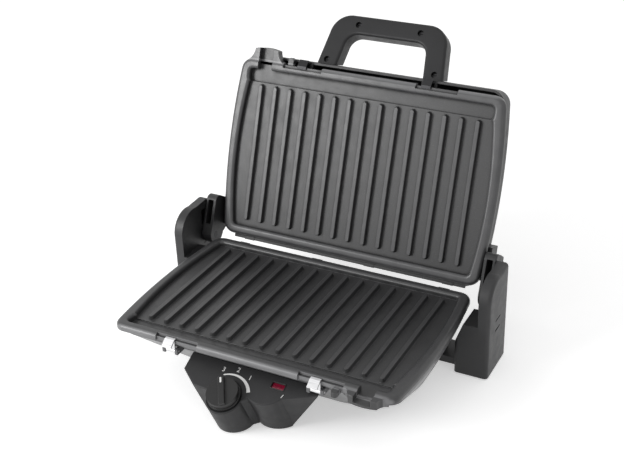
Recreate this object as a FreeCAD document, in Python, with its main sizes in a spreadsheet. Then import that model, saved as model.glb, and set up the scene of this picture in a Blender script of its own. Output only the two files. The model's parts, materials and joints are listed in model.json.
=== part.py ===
import FreeCAD, Part
import math
import os
import Sketcher
from FreeCAD import Placement, Rotation, Vector

# Contact grill, open. Millimetres, X to the right, Y to the back, Z up, table at Z = 0.
SIZES = {
    # Overall stance
    "origin_shift": 41.0,
    "rim_height": 72.5,
    "foot_height": 1.5,
    "lid_lean": 19.7,
    "lid_edge_back": 9.5,
    "lid_edge_rise": 0.4,
    "closed_gap": 0.4,
    "float_travel": 18.0,
    # Cast grill plates
    "plate_width": 300.0,
    "plate_depth": 195.0,
    "plate_bow": 6.6,
    "plate_corner": 13.0,
    "plate_height": 10.0,
    "skirt_height": 6.6,
    "step_inset": 4.8,
    "rim_width": 10.5,
    "rim_round": 4.4,
    "rim_inner_round": 3.2,
    "field_drop": 6.0,
    "gutter_drop": 7.6,
    "gutter_width": 13.0,
    "rib_count": 15,
    "rib_pitch": 17.87,
    "rib_start": 17.0,
    "rib_width": 6.0,
    "rib_rise": 4.2,
    "rib_taper": 14.0,
    "spout_root": 44.0,
    "spout_tip": 36.0,
    "upper_spout_reach": 12.5,
    "lower_spout_reach": 7.5,
    "spout_lip": 1.2,
    "spout_channel": 17.0,
    "nub_gap": 3.5,
    "nub_width": 6.4,
    "nub_reach": 6.5,
    "nub_drop": 4.5,
    "recess_length": 46.0,
    "recess_ledge": 2.6,
    "recess_reach": 5.0,
    "recess_skirt": 2.0,
    "lip_drop": 4.4,
    "lip_reach": 3.6,
    "tab_width": 12.0,
    "tab_reach": 4.0,
    "tab_thick": 4.0,
    # Counted across from the plate's side edge, negative towards the middle
    "tower_outer": 32.4,
    "tower_inner": -3.5,
    "pan_floor_half": -20.0,
    "element_half": -38.0,
    "tray_half": -22.0,
    "pad_root": -11.0,
    "post_across": -60.0,
    "spout_offset": -28.0,
    "tab_offset": -32.0,
    "recess_offset": -73.0,
    "low_clip_left": -66.0,
    "low_clip_right": -78.0,
    "lid_clip_left": -72.0,
    "lid_clip_right": -85.0,
    # Counted from the plate's front edge, negative towards the hinge; rib_length is added to the plate's depth
    "pan_floor_front": -48.0,
    "element_front": -31.0,
    "tray_front": -23.5,
    "post_front": -78.0,
    "pod_forward": 20.5,
    "rib_length": -43.5,
    "foot_lobe": 3.0,
    "foot_flank": -19.0,
    # Counted up from the lower plate's rim
    "pod_rise": -30.9,
    "ear_top": 36.0,
    "ear_shoulder": 9.5,
    "tower_block": -12.5,
    "gland_height": -38.5,
    # Spring clips that hold the plates
    "clip_width": 10.5,
    "clip_sheet": 1.2,
    "clip_eye": 2.4,
    "clip_pin_radius": 1.0,
    "clip_pivot_inset": 2.4,
    "clip_pivot_drop": 13.9,
    "clip_hook": 3.8,
    "clip_tab_reach": 6.8,
    "clip_tab_drop": 5.0,
    "clip_play": 0.3,
    "lug_width": 3.0,
    # Lower pan
    "wall": 2.5,
    "seam": 0.3,
    "pan_inset": 3.5,
    "pan_front_inset": 11.0,
    "pan_band": 6.0,
    "pan_floor_height": 14.0,
    "pan_floor_corner": 62.0,
    "pan_rear_corner": 18.0,
    "pan_rear": 3.0,
    "post_radius": 4.0,
    "post_back": 45.0,
    "vent_count": 3,
    "vent_pitch": 18.0,
    "vent_slot": 15.0,
    "vent_height": 15.0,
    "vent_start": 38.0,
    "vent_drop": 37.0,
    # Heater and reflector tray
    "element_radius": 3.25,
    "element_gap": 0.6,
    "element_back": 22.0,
    "element_bend": 24.0,
    "element_ends": 34.0,
    "tray_back": 12.0,
    "tray_drop": 24.0,
    "tray_sheet": 0.8,
    "tray_lip": 5.0,
    "saddle_length": 12.0,
    "saddle_width": 9.0,
    # Hinge towers
    "ear_thick": 12.0,
    "tower_front": 40.0,
    "tower_back": 15.0,
    "block_depth": 32.0,
    "relief_drop": 26.0,
    "relief_across": 9.0,
    "ear_bend": 24.0,
    "tower_round": 4.0,
    "slot_depth": 7.0,
    "slot_width": 12.0,
    "slide_play": 0.15,
    "slider_height": 22.0,
    "slider_thick": 6.4,
    "lug_reach": 36.0,
    "lug_depth": 30.0,
    "mark_length": 14.0,
    "mark_height": 1.8,
    "mark_deep": 1.0,
    # Hinge arms and pins
    "pin_radius": 4.0,
    "fit_play": 0.05,
    "arm_thick": 12.4,
    "arm_gap": 0.8,
    "arm_hub": 10.0,
    "arm_length": 40.0,
    "arm_front": 11.0,
    "arm_back": 30.0,
    "arm_channel": 6.4,
    "arm_channel_deep": 9.0,
    # Lid shell
    "shell_inset": 4.5,
    "shell_front": 5.0,
    "shell_rear": 3.0,
    "shell_depth": 42.0,
    "shell_round": 13.0,
    "pad_start": 6.0,
    "pad_end": 42.0,
    "pad_top": 12.5,
    "pad_bottom": 31.0,
    # Handle
    "handle_lean": 18.0,
    "handle_set_back": 25.5,
    "handle_base": 75.0,
    "handle_shoulder": 68.0,
    "handle_shoulder_rise": 36.0,
    "handle_top_half": 45.0,
    "handle_height": 58.5,
    "grip_base": 52.0,
    "grip_shoulder": 47.0,
    "grip_shoulder_rise": 24.0,
    "grip_top_half": 33.0,
    "grip_height": 37.5,
    "handle_swell": 4.8,
    "handle_crown": 4.2,
    "grip_swell": 2.8,
    "grip_crown": 2.6,
    "handle_root": 12.0,
    "handle_half": 9.5,
    "handle_round": 3.0,
    "handle_screw_low": 62.5,
    "handle_screw_low_rise": 5.5,
    "handle_screw_high": 36.0,
    "handle_screw_high_rise": 48.0,
    "screw_head": 3.0,
    "screw_head_high": 2.4,
    "screw_shank": 1.7,
    "screw_length": 13.0,
    "screw_sink": 3.4,
    # Control pod
    "pod_across": 0.5,
    "panel_slope": 25.0,
    "pod_left": 66.5,
    "pod_right": 73.5,
    "pod_left_foot": 48.0,
    "pod_right_foot": 41.0,
    "pod_flare_deep": 48.0,
    "pod_wall": 2.8,
    "lobe_across": 13.0,
    "lobe_radius": 18.0,
    "knob_radius": 16.3,
    "knob_rest": 29.0,
    "knob_height": 11.5,
    "knob_skirt": 3.0,
    "knob_grip": 6.0,
    "knob_recess": 17.2,
    "knob_recess_deep": 0.9,
    "knob_lift": -0.4,
    "shaft_radius": 3.0,
    "shaft_deep": 13.0,
    "shaft_rise": 8.0,
    "thermostat_side": 22.0,
    "thermostat_deep": 14.0,
    "lamp_across": 32.5,
    "lamp_up": 23.6,
    "lens_length": 13.0,
    "lens_width": 6.2,
    "lens_sink": 1.0,
    "lens_play": 0.1,
    "lens_flange": 0.8,
    "lamp_radius": 2.6,
    "lamp_length": 10.0,
    # Feet and inlet
    "foot_radius": 5.5,
    "gland_across": -70.0,
    "gland_radius": 6.5,
    "gland_flange": 9.5,
    "gland_bore": 3.6,
    "gland_out": 9.0,
}

doc = FreeCAD.newDocument("contact_grill")
sheet = doc.addObject("Spreadsheet::Sheet", "Sizes")
for row, (alias, number) in enumerate(SIZES.items(), start=1):
    sheet.set("A%d" % row, alias.replace("_", " "))
    sheet.set("B%d" % row, str(number))
    sheet.setAlias("B%d" % row, alias)
doc.recompute()

PARTS = {}


def val(alias):
    """Read a driving size from the sheet."""
    return float(sheet.get(alias))


def side_at(alias):
    """Distance from the middle for a size that is counted from the plate's side edge."""
    return val("plate_width") / 2 + val(alias)


def rim_at(alias):
    """Height over the table for a size that is counted up from the lower plate's rim."""
    return val("rim_height") + val(alias)


def front_at(alias):
    """Distance from the hinge edge for a size that is counted from the plate's front edge."""
    return val("plate_depth") + val(alias)


def lid_pivot():
    """Hinge axis (Y, Z) that carries the open lid face to face with the lower plate."""
    turn = math.radians(90.0 + val("lid_lean"))
    opened = (val("lid_edge_back"), val("rim_height") + val("lid_edge_rise"))
    closed = (0.0, val("rim_height") + val("closed_gap"))
    step = (closed[0] - opened[0], closed[1] - opened[1])
    share = 0.5 / math.tan(turn / 2)
    return (
        (opened[0] + closed[0]) / 2 - step[1] * share,
        (opened[1] + closed[1]) / 2 + step[0] * share,
    )


def lid_local(point):
    """World (Y, Z) of a point seen in the lid's own (Y, Z)."""
    lean = math.radians(val("lid_lean"))
    back = point[0] - val("lid_edge_back")
    rise = point[1] - val("rim_height") - val("lid_edge_rise")
    return (
        back * math.sin(lean) + rise * math.cos(lean),
        -back * math.cos(lean) + rise * math.sin(lean),
    )


X_AXIS = Vector(1, 0, 0)
Y_AXIS = Vector(0, 1, 0)
Z_AXIS = Vector(0, 0, 1)
SHIFT = Placement(Vector(0, val("origin_shift"), 0), Rotation())
BASE = SHIFT
LOW = SHIFT * Placement(Vector(0, 0, val("rim_height")), Rotation(Z_AXIS, 180))
LID = SHIFT * Placement(
    Vector(0, val("lid_edge_back"), val("rim_height") + val("lid_edge_rise")),
    Rotation(X_AXIS, 90 - val("lid_lean")),
)
POD = SHIFT * Placement(
    Vector(val("pod_across"), -front_at("pod_forward"), rim_at("pod_rise")),
    Rotation(X_AXIS, val("panel_slope")),
)
HANDLE = LID * Placement(
    Vector(0, val("plate_depth") + val("shell_front"), -val("handle_set_back")),
    Rotation(X_AXIS, -val("handle_lean")),
)


def new_body(label, frame):
    """A part design body for one named piece, placed in its frame."""
    body = doc.addObject("PartDesign::Body", label)
    body.Label = label
    body.Placement = frame
    PARTS[label] = body
    return body


def sketch(body, role="XY_Plane", offset=None):
    """A sketch on one of the body's own planes, offset by an expression or number."""
    made = body.newObject("Sketcher::SketchObject", "Sketch")
    plane = [item for item in body.Origin.OriginFeatures if item.Role == role][0]
    made.AttachmentSupport = [(plane, "")]
    made.MapMode = "FlatFace"
    if isinstance(offset, str):
        made.setExpression("AttachmentOffset.Base.z", offset)
    elif offset:
        made.AttachmentOffset = Placement(Vector(0, 0, offset), Rotation())
    return made


def draw(made, path):
    """Closed outline: ("L", x, y) for a line, ("A", mid x, mid y, x, y) for an arc."""
    first = Vector(path[0][-2], path[0][-1], 0)
    here = first
    for step in path[1:]:
        there = Vector(step[-2], step[-1], 0)
        if step[0] == "L":
            made.addGeometry(Part.LineSegment(here, there), False)
        else:
            made.addGeometry(arc(here, Vector(step[1], step[2], 0), there), False)
        here = there
    count = made.GeometryCount
    for index in range(count):
        one = made.Geometry[index]
        two = made.Geometry[(index + 1) % count]
        end = end_name(one, two)
        start = end_name(two, one)
        made.addConstraint(Sketcher.Constraint("Coincident", index, end, (index + 1) % count, start))
        made.addConstraint(Sketcher.Constraint("Block", index))


def arc(here, middle, there):
    """Arc through three points, always laid counter-clockwise."""
    turn = (middle - here).cross(there - middle).z
    if turn < 0:
        return Part.Arc(there, middle, here)
    return Part.Arc(here, middle, there)


def end_name(one, two):
    """Which end of the first edge, 1 or 2, meets the second edge."""
    ends = (two.StartPoint, two.EndPoint)
    near = [min(one.StartPoint.distanceToPoint(p) for p in ends)]
    near.append(min(one.EndPoint.distanceToPoint(p) for p in ends))
    return 2 if near[1] <= near[0] else 1


def rect(made, left, right, low, high):
    """Rectangle in a sketch, each side held at a number or a sheet expression."""
    numbers = [evaluate(side) for side in (left, right, low, high)]
    x0, x1, y0, y1 = numbers
    corners = [Vector(x0, y0, 0), Vector(x1, y0, 0), Vector(x1, y1, 0), Vector(x0, y1, 0)]
    first = made.GeometryCount
    for index in range(4):
        made.addGeometry(Part.LineSegment(corners[index], corners[(index + 1) % 4]), False)
    for index in range(4):
        nxt = first + (index + 1) % 4
        made.addConstraint(Sketcher.Constraint("Coincident", first + index, 2, nxt, 1))
    for index in (0, 2):
        made.addConstraint(Sketcher.Constraint("Horizontal", first + index))
        made.addConstraint(Sketcher.Constraint("Vertical", first + index + 1))
    spots = (("DistanceX", 0, left), ("DistanceY", 0, low), ("DistanceX", 2, right), ("DistanceY", 2, high))
    for kind, corner, side in spots:
        number = evaluate(side)
        item = made.addConstraint(Sketcher.Constraint(kind, -1, 1, first + corner, 1, number))
        if isinstance(side, str):
            made.setExpression("Constraints[%d]" % item, side)


def circle(made, across, up, radius):
    """Circle in a sketch with its radius held by a sheet expression."""
    spot = Vector(across, up, 0)
    index = made.addGeometry(Part.Circle(spot, Z_AXIS, evaluate(radius)), False)
    made.addConstraint(Sketcher.Constraint("DistanceX", -1, 1, index, 3, across))
    made.addConstraint(Sketcher.Constraint("DistanceY", -1, 1, index, 3, up))
    item = made.addConstraint(Sketcher.Constraint("Radius", index, evaluate(radius)))
    if isinstance(radius, str):
        made.setExpression("Constraints[%d]" % item, radius)


def evaluate(side):
    """Number behind a sheet expression."""
    if not isinstance(side, str):
        return float(side)
    result = sheet.evalExpression(side)
    return float(result)


def cell(text):
    """Expression over the sheet: every alias gets the sheet's name in front."""
    out = []
    word = ""
    for mark in text + " ":
        if mark.isalnum() or mark in "_.":
            word += mark
            continue
        out.append("Sizes." + word if word in SIZES else word)
        out.append(mark)
        word = ""
    return "".join(out).strip()


def pad(body, made, length, reverse=False, middle=False, taper=None):
    """Pad a sketch by a length that the sheet drives."""
    return extrude(body, "PartDesign::Pad", made, length, reverse, middle, taper)


def pocket(body, made, length, reverse=False, middle=False):
    """Pocket a sketch and make sure that it takes material away."""
    before = body.Shape.Volume
    cut = extrude(body, "PartDesign::Pocket", made, length, reverse, middle, None)
    if body.Shape.Volume > before - 1e-6:
        raise RuntimeError("%s: a pocket cuts nothing" % body.Label)
    return cut


def extrude(body, kind, made, length, reverse, middle, taper):
    """Shared part of pads and pockets."""
    feature = body.newObject(kind, kind.split("::")[1])
    feature.Profile = made
    if isinstance(length, str):
        feature.setExpression("Length", length)
    else:
        feature.Length = length
    feature.Reversed = reverse
    feature.Midplane = middle
    if taper:
        feature.setExpression("TaperAngle", taper)
    doc.recompute()
    return feature


def fillet(body, radius, keep):
    """Round the edges of the body's tip that the test keeps."""
    shape = body.Tip.Shape
    names = ["Edge%d" % (index + 1) for index, edge in enumerate(shape.Edges) if keep(edge)]
    if not names:
        raise RuntimeError("%s: no edge to round" % body.Label)
    base = body.Tip
    feature = body.newObject("PartDesign::Fillet", "Fillet")
    feature.Base = (base, names)
    feature.setExpression("Radius", radius)
    doc.recompute()
    return feature


def flat_at(edge, axis, level):
    """True for an edge that lies wholly at one level of an axis."""
    box = edge.BoundBox
    low = (box.XMin, box.YMin, box.ZMin)[axis]
    high = (box.XMax, box.YMax, box.ZMax)[axis]
    return abs(low - level) < 0.02 and abs(high - level) < 0.02


def along(edge, axis):
    """True for a straight edge that runs along one axis."""
    box = edge.BoundBox
    spans = [box.XLength, box.YLength, box.ZLength]
    run = spans.pop(axis)
    return run > 0.5 and max(spans) < 1e-3


def bowed(half, bow, low, high, corner, rear=None):
    """Outline with straight front and back, bulging sides and corners that run smoothly into both."""
    middle = (low + high) / 2
    span = (high - low) / 2
    swing = (span * span + bow * bow) / (2 * bow)
    hub = half + bow - swing
    ends = []
    for radius in (corner if rear is None else rear, corner):
        rise = span - radius
        across = hub + math.sqrt((swing - radius) ** 2 - rise ** 2)
        stretch = swing / (swing - radius)
        turn = (math.atan2(rise, across - hub) + math.pi / 2) / 2
        ends.append((
            across,
            hub + (across - hub) * stretch,
            rise * stretch,
            across + radius * math.cos(turn),
            rise + radius * math.sin(turn),
        ))
    (back, back_side, back_lift, back_bulge, back_crown), (across, side, lift, bulge, crown) = ends
    return [
        ("L", -back, low),
        ("L", back, low),
        ("A", back_bulge, middle - back_crown, back_side, middle - back_lift),
        ("A", half + bow, middle, side, middle + lift),
        ("A", bulge, middle + crown, across, high),
        ("L", -across, high),
        ("A", -bulge, middle + crown, -side, middle + lift),
        ("A", -half - bow, middle, -back_side, middle - back_lift),
        ("A", -back_bulge, middle - back_crown, -back, low),
    ]


def outline_inset(inset, low=0.0, high=None):
    """The plate's bowed outline drawn inward by a margin."""
    depth = val("plate_depth") if high is None else high
    return bowed(
        val("plate_width") / 2 - inset,
        val("plate_bow"),
        low + inset,
        depth - inset,
        max(val("plate_corner") - inset, 2.0),
    )


def grill_plate(label, frame, reach):
    """Cast plate: rounded rim, ribbed field, gutter, pouring spout, clip ledges and rear tabs."""
    body = new_body(label, frame)
    made = sketch(body)
    draw(made, outline_inset(0.0))
    pad(body, made, cell("skirt_height"), reverse=True)
    fillet(body, cell("rim_round"), lambda e: flat_at(e, 2, 0.0))
    made = sketch(body, "XY_Plane", cell("-skirt_height"))
    draw(made, outline_inset(val("step_inset")))
    pad(body, made, cell("plate_height-skirt_height"), reverse=True)
    depth = val("plate_depth")
    rim = val("rim_width")
    step = depth - rim - val("gutter_width")
    made = sketch(body)
    draw(made, bowed(val("plate_width") / 2 - rim, val("plate_bow"), rim, step, 4.0))
    pocket(body, made, cell("field_drop"))
    made = sketch(body)
    half = val("plate_width") / 2 - rim
    draw(made, bowed(half, 0.8, step - 1.0, depth - rim, 4.0))
    pocket(body, made, cell("gutter_drop"))
    fillet(body, cell("rim_inner_round"), lambda e: flat_at(e, 2, 0.0) and inside_rim(e))
    spout(body, reach)
    ribs(body)
    for side in (1, -1):
        centre = side * side_at("recess_offset")
        span = val("recess_length") / 2
        made = sketch(body)
        rect(made, centre - span, centre + span, cell("plate_depth-recess_reach"), cell("plate_depth+1"))
        pocket(body, made, cell("recess_ledge"))
        made = sketch(body)
        rect(made, centre - span, centre + span, cell("plate_depth-recess_skirt"), cell("plate_depth+1"))
        pocket(body, made, cell("plate_height+1"))
    nub(body)
    made = sketch(body, "XY_Plane", cell("-tab_thick"))
    reach = cell("-tab_reach")
    for centre in (-side_at("tab_offset"), side_at("tab_offset") * 0.24, side_at("tab_offset")):
        span = val("tab_width") / 2
        rect(made, centre - span, centre + span, reach, 1.0)
    pad(body, made, cell("tab_thick"), reverse=True)
    made = sketch(body, "XY_Plane", cell("-lip_drop"))
    rect(made, cell("plate_corner-plate_width/2"), cell("plate_width/2-plate_corner"), cell("-lip_reach"), 1.0)
    pad(body, made, cell("skirt_height-lip_drop"), reverse=True)
    return body


def inside_rim(edge):
    """True for an edge on the field's side of the rim."""
    box = edge.BoundBox
    margin = val("rim_width") - 1.0
    half = val("plate_width") / 2 + val("plate_bow") - margin
    return box.XMax < half and box.XMin > -half and box.YMin > margin and box.YMax < val("plate_depth") - margin


def spout(body, reach):
    """Pouring lip that runs out of the gutter through the front rim."""
    depth = val("plate_depth")
    centre = -side_at("spout_offset")
    root = val("spout_root") / 2
    tip = val("spout_tip") / 2
    out = depth + val(reach)
    made = sketch(body, "XY_Plane", cell("-spout_lip"))
    draw(made, [
        ("L", centre - root, depth - 2.0),
        ("L", centre + root, depth - 2.0),
        ("A", centre + (root + tip) / 2 - 3.5, (depth + out) / 2 - 2.5, centre + tip - 4.0, out - 1.0),
        ("A", centre, out + 1.0, centre - tip + 4.0, out - 1.0),
        ("A", centre - (root + tip) / 2 + 3.5, (depth + out) / 2 - 2.5, centre - root, depth - 2.0),
    ])
    pad(body, made, cell("plate_height-spout_lip"), reverse=True)
    half = val("spout_channel") / 2
    made = sketch(body)
    rect(made, centre - half, centre + half, depth - val("rim_width") - 2.0, out + 4.0)
    pocket(body, made, cell("gutter_drop"))


def nub(body):
    """Small cast stop on the skirt beside the pouring lip."""
    depth = val("plate_depth")
    start = -side_at("spout_offset") + val("spout_root") / 2 + val("nub_gap")
    width = val("nub_width")
    root = depth - val("recess_skirt") - 1.0
    tip = depth + val("nub_reach") - width / 2
    made = sketch(body, "XY_Plane", cell("-nub_drop"))
    draw(made, [
        ("L", start, root),
        ("L", start + width, root),
        ("L", start + width, tip),
        ("A", start + width / 2, tip + width / 2, start, tip),
        ("L", start, root),
    ])
    pad(body, made, cell("plate_height-nub_drop"), reverse=True)


def ribs(body):
    """Row of raised bars with round ends and sloping flanks across the field."""
    half = val("rib_width") / 2
    low = val("rib_start") + half
    high = val("rib_start") + front_at("rib_length") - half
    first = -val("rib_pitch") * (val("rib_count") - 1) / 2
    made = sketch(body, "XY_Plane", cell("-field_drop"))
    draw(made, [
        ("L", first - half, low),
        ("A", first, low - half, first + half, low),
        ("L", first + half, high),
        ("A", first, high + half, first - half, high),
        ("L", first - half, low),
    ])
    rib = pad(body, made, cell("rib_rise"), taper=cell("-rib_taper"))
    row = body.newObject("PartDesign::LinearPattern", "RibRow")
    row.Originals = [rib]
    row.Direction = (made, ["H_Axis"])
    row.setExpression("Length", cell("rib_pitch*(rib_count-1)"))
    row.setExpression("Occurrences", cell("rib_count"))
    body.Tip = row
    doc.recompute()


def clip_points(depth):
    """Side profile of a plate clip: hook, leg, foot and outward finger tab."""
    sheet_thick = val("clip_sheet")
    ledge = -val("recess_ledge") + val("clip_play")
    face = depth - val("recess_skirt") + 0.2
    pivot_y = depth - val("clip_pivot_inset")
    pivot_z = -val("clip_pivot_drop")
    outer = face + sheet_thick
    top = ledge + sheet_thick
    tab_y = outer + val("clip_tab_reach")
    tab_z = top - val("clip_tab_drop")
    return [
        ("L", pivot_y, pivot_z - sheet_thick),
        ("L", outer, pivot_z - sheet_thick),
        ("L", outer, top - sheet_thick * 1.5),
        ("L", tab_y - 0.5, tab_z - sheet_thick),
        ("L", tab_y, tab_z),
        ("L", outer, top),
        ("L", face - val("clip_hook") + val("recess_skirt") - 0.2, top),
        ("L", face - val("clip_hook") + val("recess_skirt") - 0.2, ledge),
        ("L", face, ledge),
        ("L", face, pivot_z),
        ("L", pivot_y, pivot_z),
        ("L", pivot_y, pivot_z - sheet_thick),
    ]


def clip(label, frame, centre):
    """Sheet steel clip with a rolled eye for its pivot pin."""
    body = new_body(label, frame)
    depth = val("plate_depth")
    made = sketch(body, "YZ_Plane", centre)
    draw(made, clip_points(depth))
    pad(body, made, cell("clip_width"), middle=True)
    pivot = (depth - val("clip_pivot_inset"), -val("clip_pivot_drop"))
    made = sketch(body, "YZ_Plane", centre)
    circle(made, pivot[0], pivot[1], cell("clip_eye"))
    pad(body, made, cell("clip_width"), middle=True)
    made = sketch(body, "YZ_Plane", centre)
    circle(made, pivot[0], pivot[1], cell("clip_pin_radius+fit_play"))
    pocket(body, made, cell("clip_width+2"), middle=True)
    return body


def clip_pin(label, frame, centre):
    """Steel pin that carries a clip between its two lugs."""
    body = new_body(label, frame)
    made = sketch(body, "YZ_Plane", centre)
    circle(made, val("plate_depth") - val("clip_pivot_inset"), -val("clip_pivot_drop"), cell("clip_pin_radius"))
    pad(body, made, cell("clip_width+2*clip_play+2*lug_width"), middle=True)
    return body


def clip_lugs(body, centres, start, end):
    """Pairs of lugs at a front wall, drilled for the clip pins."""
    depth = val("plate_depth")
    inner = val("clip_width") / 2 + val("clip_play")
    outer = inner + val("lug_width")
    made = sketch(body, "XY_Plane", cell("-plate_height-seam"))
    for centre in centres:
        for side in (-1, 1):
            ends = sorted((centre + side * inner, centre + side * outer))
            rect(made, ends[0], ends[1], start, end)
    pad(body, made, cell("clip_pivot_drop-plate_height+clip_eye"), reverse=True)
    for centre in centres:
        made = sketch(body, "YZ_Plane", centre)
        circle(made, depth - val("clip_pivot_inset"), -val("clip_pivot_drop"), cell("clip_pin_radius"))
        pocket(body, made, cell("clip_width+2*clip_play+2*lug_width+1"), middle=True)


def posts(body, bottom):
    """Round posts that carry the reflector tray."""
    made = sketch(body, "XY_Plane", cell("-tray_drop"))
    for across in (-side_at("post_across"), side_at("post_across")):
        for up in (val("post_back"), front_at("post_front")):
            circle(made, across, up, cell("post_radius"))
    pad(body, made, bottom, reverse=True)


def lower_pan():
    """Casing under the lower plate: upright band, walls drawn in to a smaller floor, vents and clip windows."""
    body = new_body("base_pan", LOW)
    inset = val("pan_inset")
    thick = val("wall")
    top = cell("-plate_height-seam")
    band = cell("-plate_height-seam-pan_band")
    floor = cell("pan_floor_height-rim_height")
    half = val("plate_width") / 2
    depth = val("plate_depth")
    rear = val("pan_rear")
    front = depth - val("pan_front_inset")

    def shape(margin):
        return bowed(half - inset - margin, val("plate_bow"), rear + margin, front - margin,
                     val("plate_corner") - margin)

    def base(margin):
        return bowed(side_at("pan_floor_half") - margin, 3.0, rear + margin, front_at("pan_floor_front") - margin,
                     val("pan_floor_corner") - margin, val("pan_rear_corner") - margin)

    made = sketch(body, "XY_Plane", band)
    draw(made, shape(0.0))
    pad(body, made, cell("pan_band"))
    lower = sketch(body, "XY_Plane", band)
    draw(lower, shape(0.0))
    end = sketch(body, "XY_Plane", floor)
    draw(end, base(0.0))
    loft(body, "PartDesign::AdditiveLoft", lower, end)
    made = sketch(body, "XY_Plane", top)
    draw(made, shape(thick))
    pocket(body, made, cell("pan_band"))
    lower = sketch(body, "XY_Plane", band)
    draw(lower, shape(thick))
    end = sketch(body, "XY_Plane", cell("pan_floor_height-rim_height+wall"))
    draw(end, base(thick + 1.0))
    loft(body, "PartDesign::SubtractiveLoft", lower, end)
    vents(body)
    posts(body, cell("rim_height-pan_floor_height-wall/2-tray_drop"))
    centres = (side_at("low_clip_left"), -side_at("low_clip_right"))
    clip_lugs(body, centres, front - thick / 2, depth - val("clip_pivot_inset") + val("clip_eye") + 0.6)
    made = sketch(body, "XZ_Plane", -rear)
    circle(made, -val("gland_across"), rim_at("gland_height") - val("rim_height"), cell("gland_radius"))
    pocket(body, made, 12.0, middle=True)
    made = sketch(body, "XY_Plane", floor)
    for side in (-1, 1):
        for spot in tower_screw_spots(side):
            circle(made, -spot[0], -spot[1], cell("screw_shank"))
    pocket(body, made, cell("2*wall+2"), middle=True)
    return body


def loft(body, kind, first, last):
    """Loft between two outlines of the same make-up."""
    feature = body.newObject(kind, kind.split("::")[1])
    feature.Profile = first
    feature.Sections = [last]
    feature.Ruled = True
    doc.recompute()
    return feature


def vents(body):
    """Row of cooling slots through both side walls of the pan."""
    made = sketch(body, "YZ_Plane")
    for index in range(int(val("vent_count"))):
        start = val("vent_start") + index * val("vent_pitch")
        low = -val("vent_drop") - val("vent_height") / 2
        rect(made, start, start + val("vent_slot"), low, low + val("vent_height"))
    pocket(body, made, cell("plate_width+20"), middle=True)


def lid_shell():
    """Lid casing: rounded back, open towards the plate, with side pads for the arms."""
    body = new_body("lid_shell", LID)
    high = val("plate_depth") + val("shell_front")
    made = sketch(body, "XY_Plane", cell("-shell_depth"))
    half = val("plate_width") / 2 - val("shell_inset")
    draw(made, bowed(half, val("plate_bow"), -val("shell_rear"), high, val("plate_corner") + 2.0))
    pad(body, made, cell("shell_depth-plate_height-seam"))
    level = -val("shell_depth")
    fillet(body, cell("shell_round"), lambda e: flat_at(e, 2, level))
    mouth = -val("plate_height") - val("seam")
    base = body.Tip
    faces = ["Face%d" % (i + 1) for i, f in enumerate(base.Shape.Faces)
             if abs(f.CenterOfMass.z - mouth) < 0.01 and f.BoundBox.ZLength < 0.01]
    hollow = body.newObject("PartDesign::Thickness", "Hollow")
    hollow.Base = (base, faces)
    hollow.setExpression("Value", cell("wall"))
    hollow.Reversed = True
    doc.recompute()
    posts(body, cell("shell_depth-tray_drop-wall/2"))
    start = val("plate_depth") - val("clip_pivot_inset") - val("clip_eye") - 1.0
    clip_lugs(body, (-side_at("lid_clip_left"), side_at("lid_clip_right")), start, high - val("wall") / 2)
    face = side_at("tower_outer") - val("ear_thick") - val("arm_gap") - val("arm_thick")
    made = sketch(body, "XY_Plane", cell("-pad_top"))
    for side in (-1, 1):
        ends = sorted((side * side_at("pad_root"), side * face))
        rect(made, ends[0], ends[1], cell("pad_start"), cell("pad_end"))
    pad(body, made, cell("pad_bottom-pad_top"), reverse=True)
    for side in (-1, 1):
        made = sketch(body, "YZ_Plane", side * face)
        for spot in arm_screw_spots():
            circle(made, spot[0], spot[1], cell("screw_shank"))
        pocket(body, made, cell("screw_length*2"), middle=True)
    return body


def arm_screw_spots():
    """Places (Y, Z in the lid) of the two screws in each hinge arm."""
    return ((12.0, -23.0), (32.0, -16.0))


def hinge_arm(label, side):
    """Arm between lid and tower: hub on the hinge pin, hollow front, two screws into the lid."""
    body = new_body(label, LID)
    outer = side_at("tower_outer") - val("ear_thick") - val("arm_gap")
    middle = side * (outer - val("arm_thick") / 2)
    pivot = lid_local(lid_pivot())
    hub = val("arm_hub")
    end = val("arm_length")
    front = val("arm_front")
    back = val("arm_back")
    made = sketch(body, "YZ_Plane", middle)
    draw(made, [
        ("L", pivot[0], pivot[1] + hub),
        ("L", end - 8.0, front),
        ("A", end - 1.5, front - 2.5, end, front - 8.0),
        ("L", end - 3.0, -10.0),
        ("L", end - 19.0, -back + 1.0),
        ("A", end - 22.0, -back - 0.5, end - 26.0, -back),
        ("L", pivot[0] + 2.0, -12.0),
        ("A", pivot[0] - hub, pivot[1], pivot[0], pivot[1] + hub),
    ])
    pad(body, made, cell("arm_thick"), middle=True)
    fillet(body, cell("clip_sheet"), lambda e: flat_at(e, 0, middle + side * val("arm_thick") / 2))
    made = sketch(body, "XY_Plane", 30.0)
    half = val("arm_channel") / 2
    rect(made, middle - half, middle + half, 7.0, end - 6.0)
    pocket(body, made, 30.0 + val("arm_channel_deep"))
    made = sketch(body, "YZ_Plane", middle)
    circle(made, pivot[0], pivot[1], cell("pin_radius+fit_play"))
    pocket(body, made, cell("arm_thick*2"), middle=True)
    made = sketch(body, "YZ_Plane", middle)
    for spot in arm_screw_spots():
        circle(made, spot[0], spot[1], cell("screw_shank+fit_play"))
    pocket(body, made, cell("arm_thick*2"), middle=True)
    made = sketch(body, "YZ_Plane", middle + side * val("arm_thick") / 2)
    for spot in arm_screw_spots():
        circle(made, spot[0], spot[1], cell("screw_head+0.3"))
    pocket(body, made, cell("2*screw_sink"), middle=True)
    return body


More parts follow.
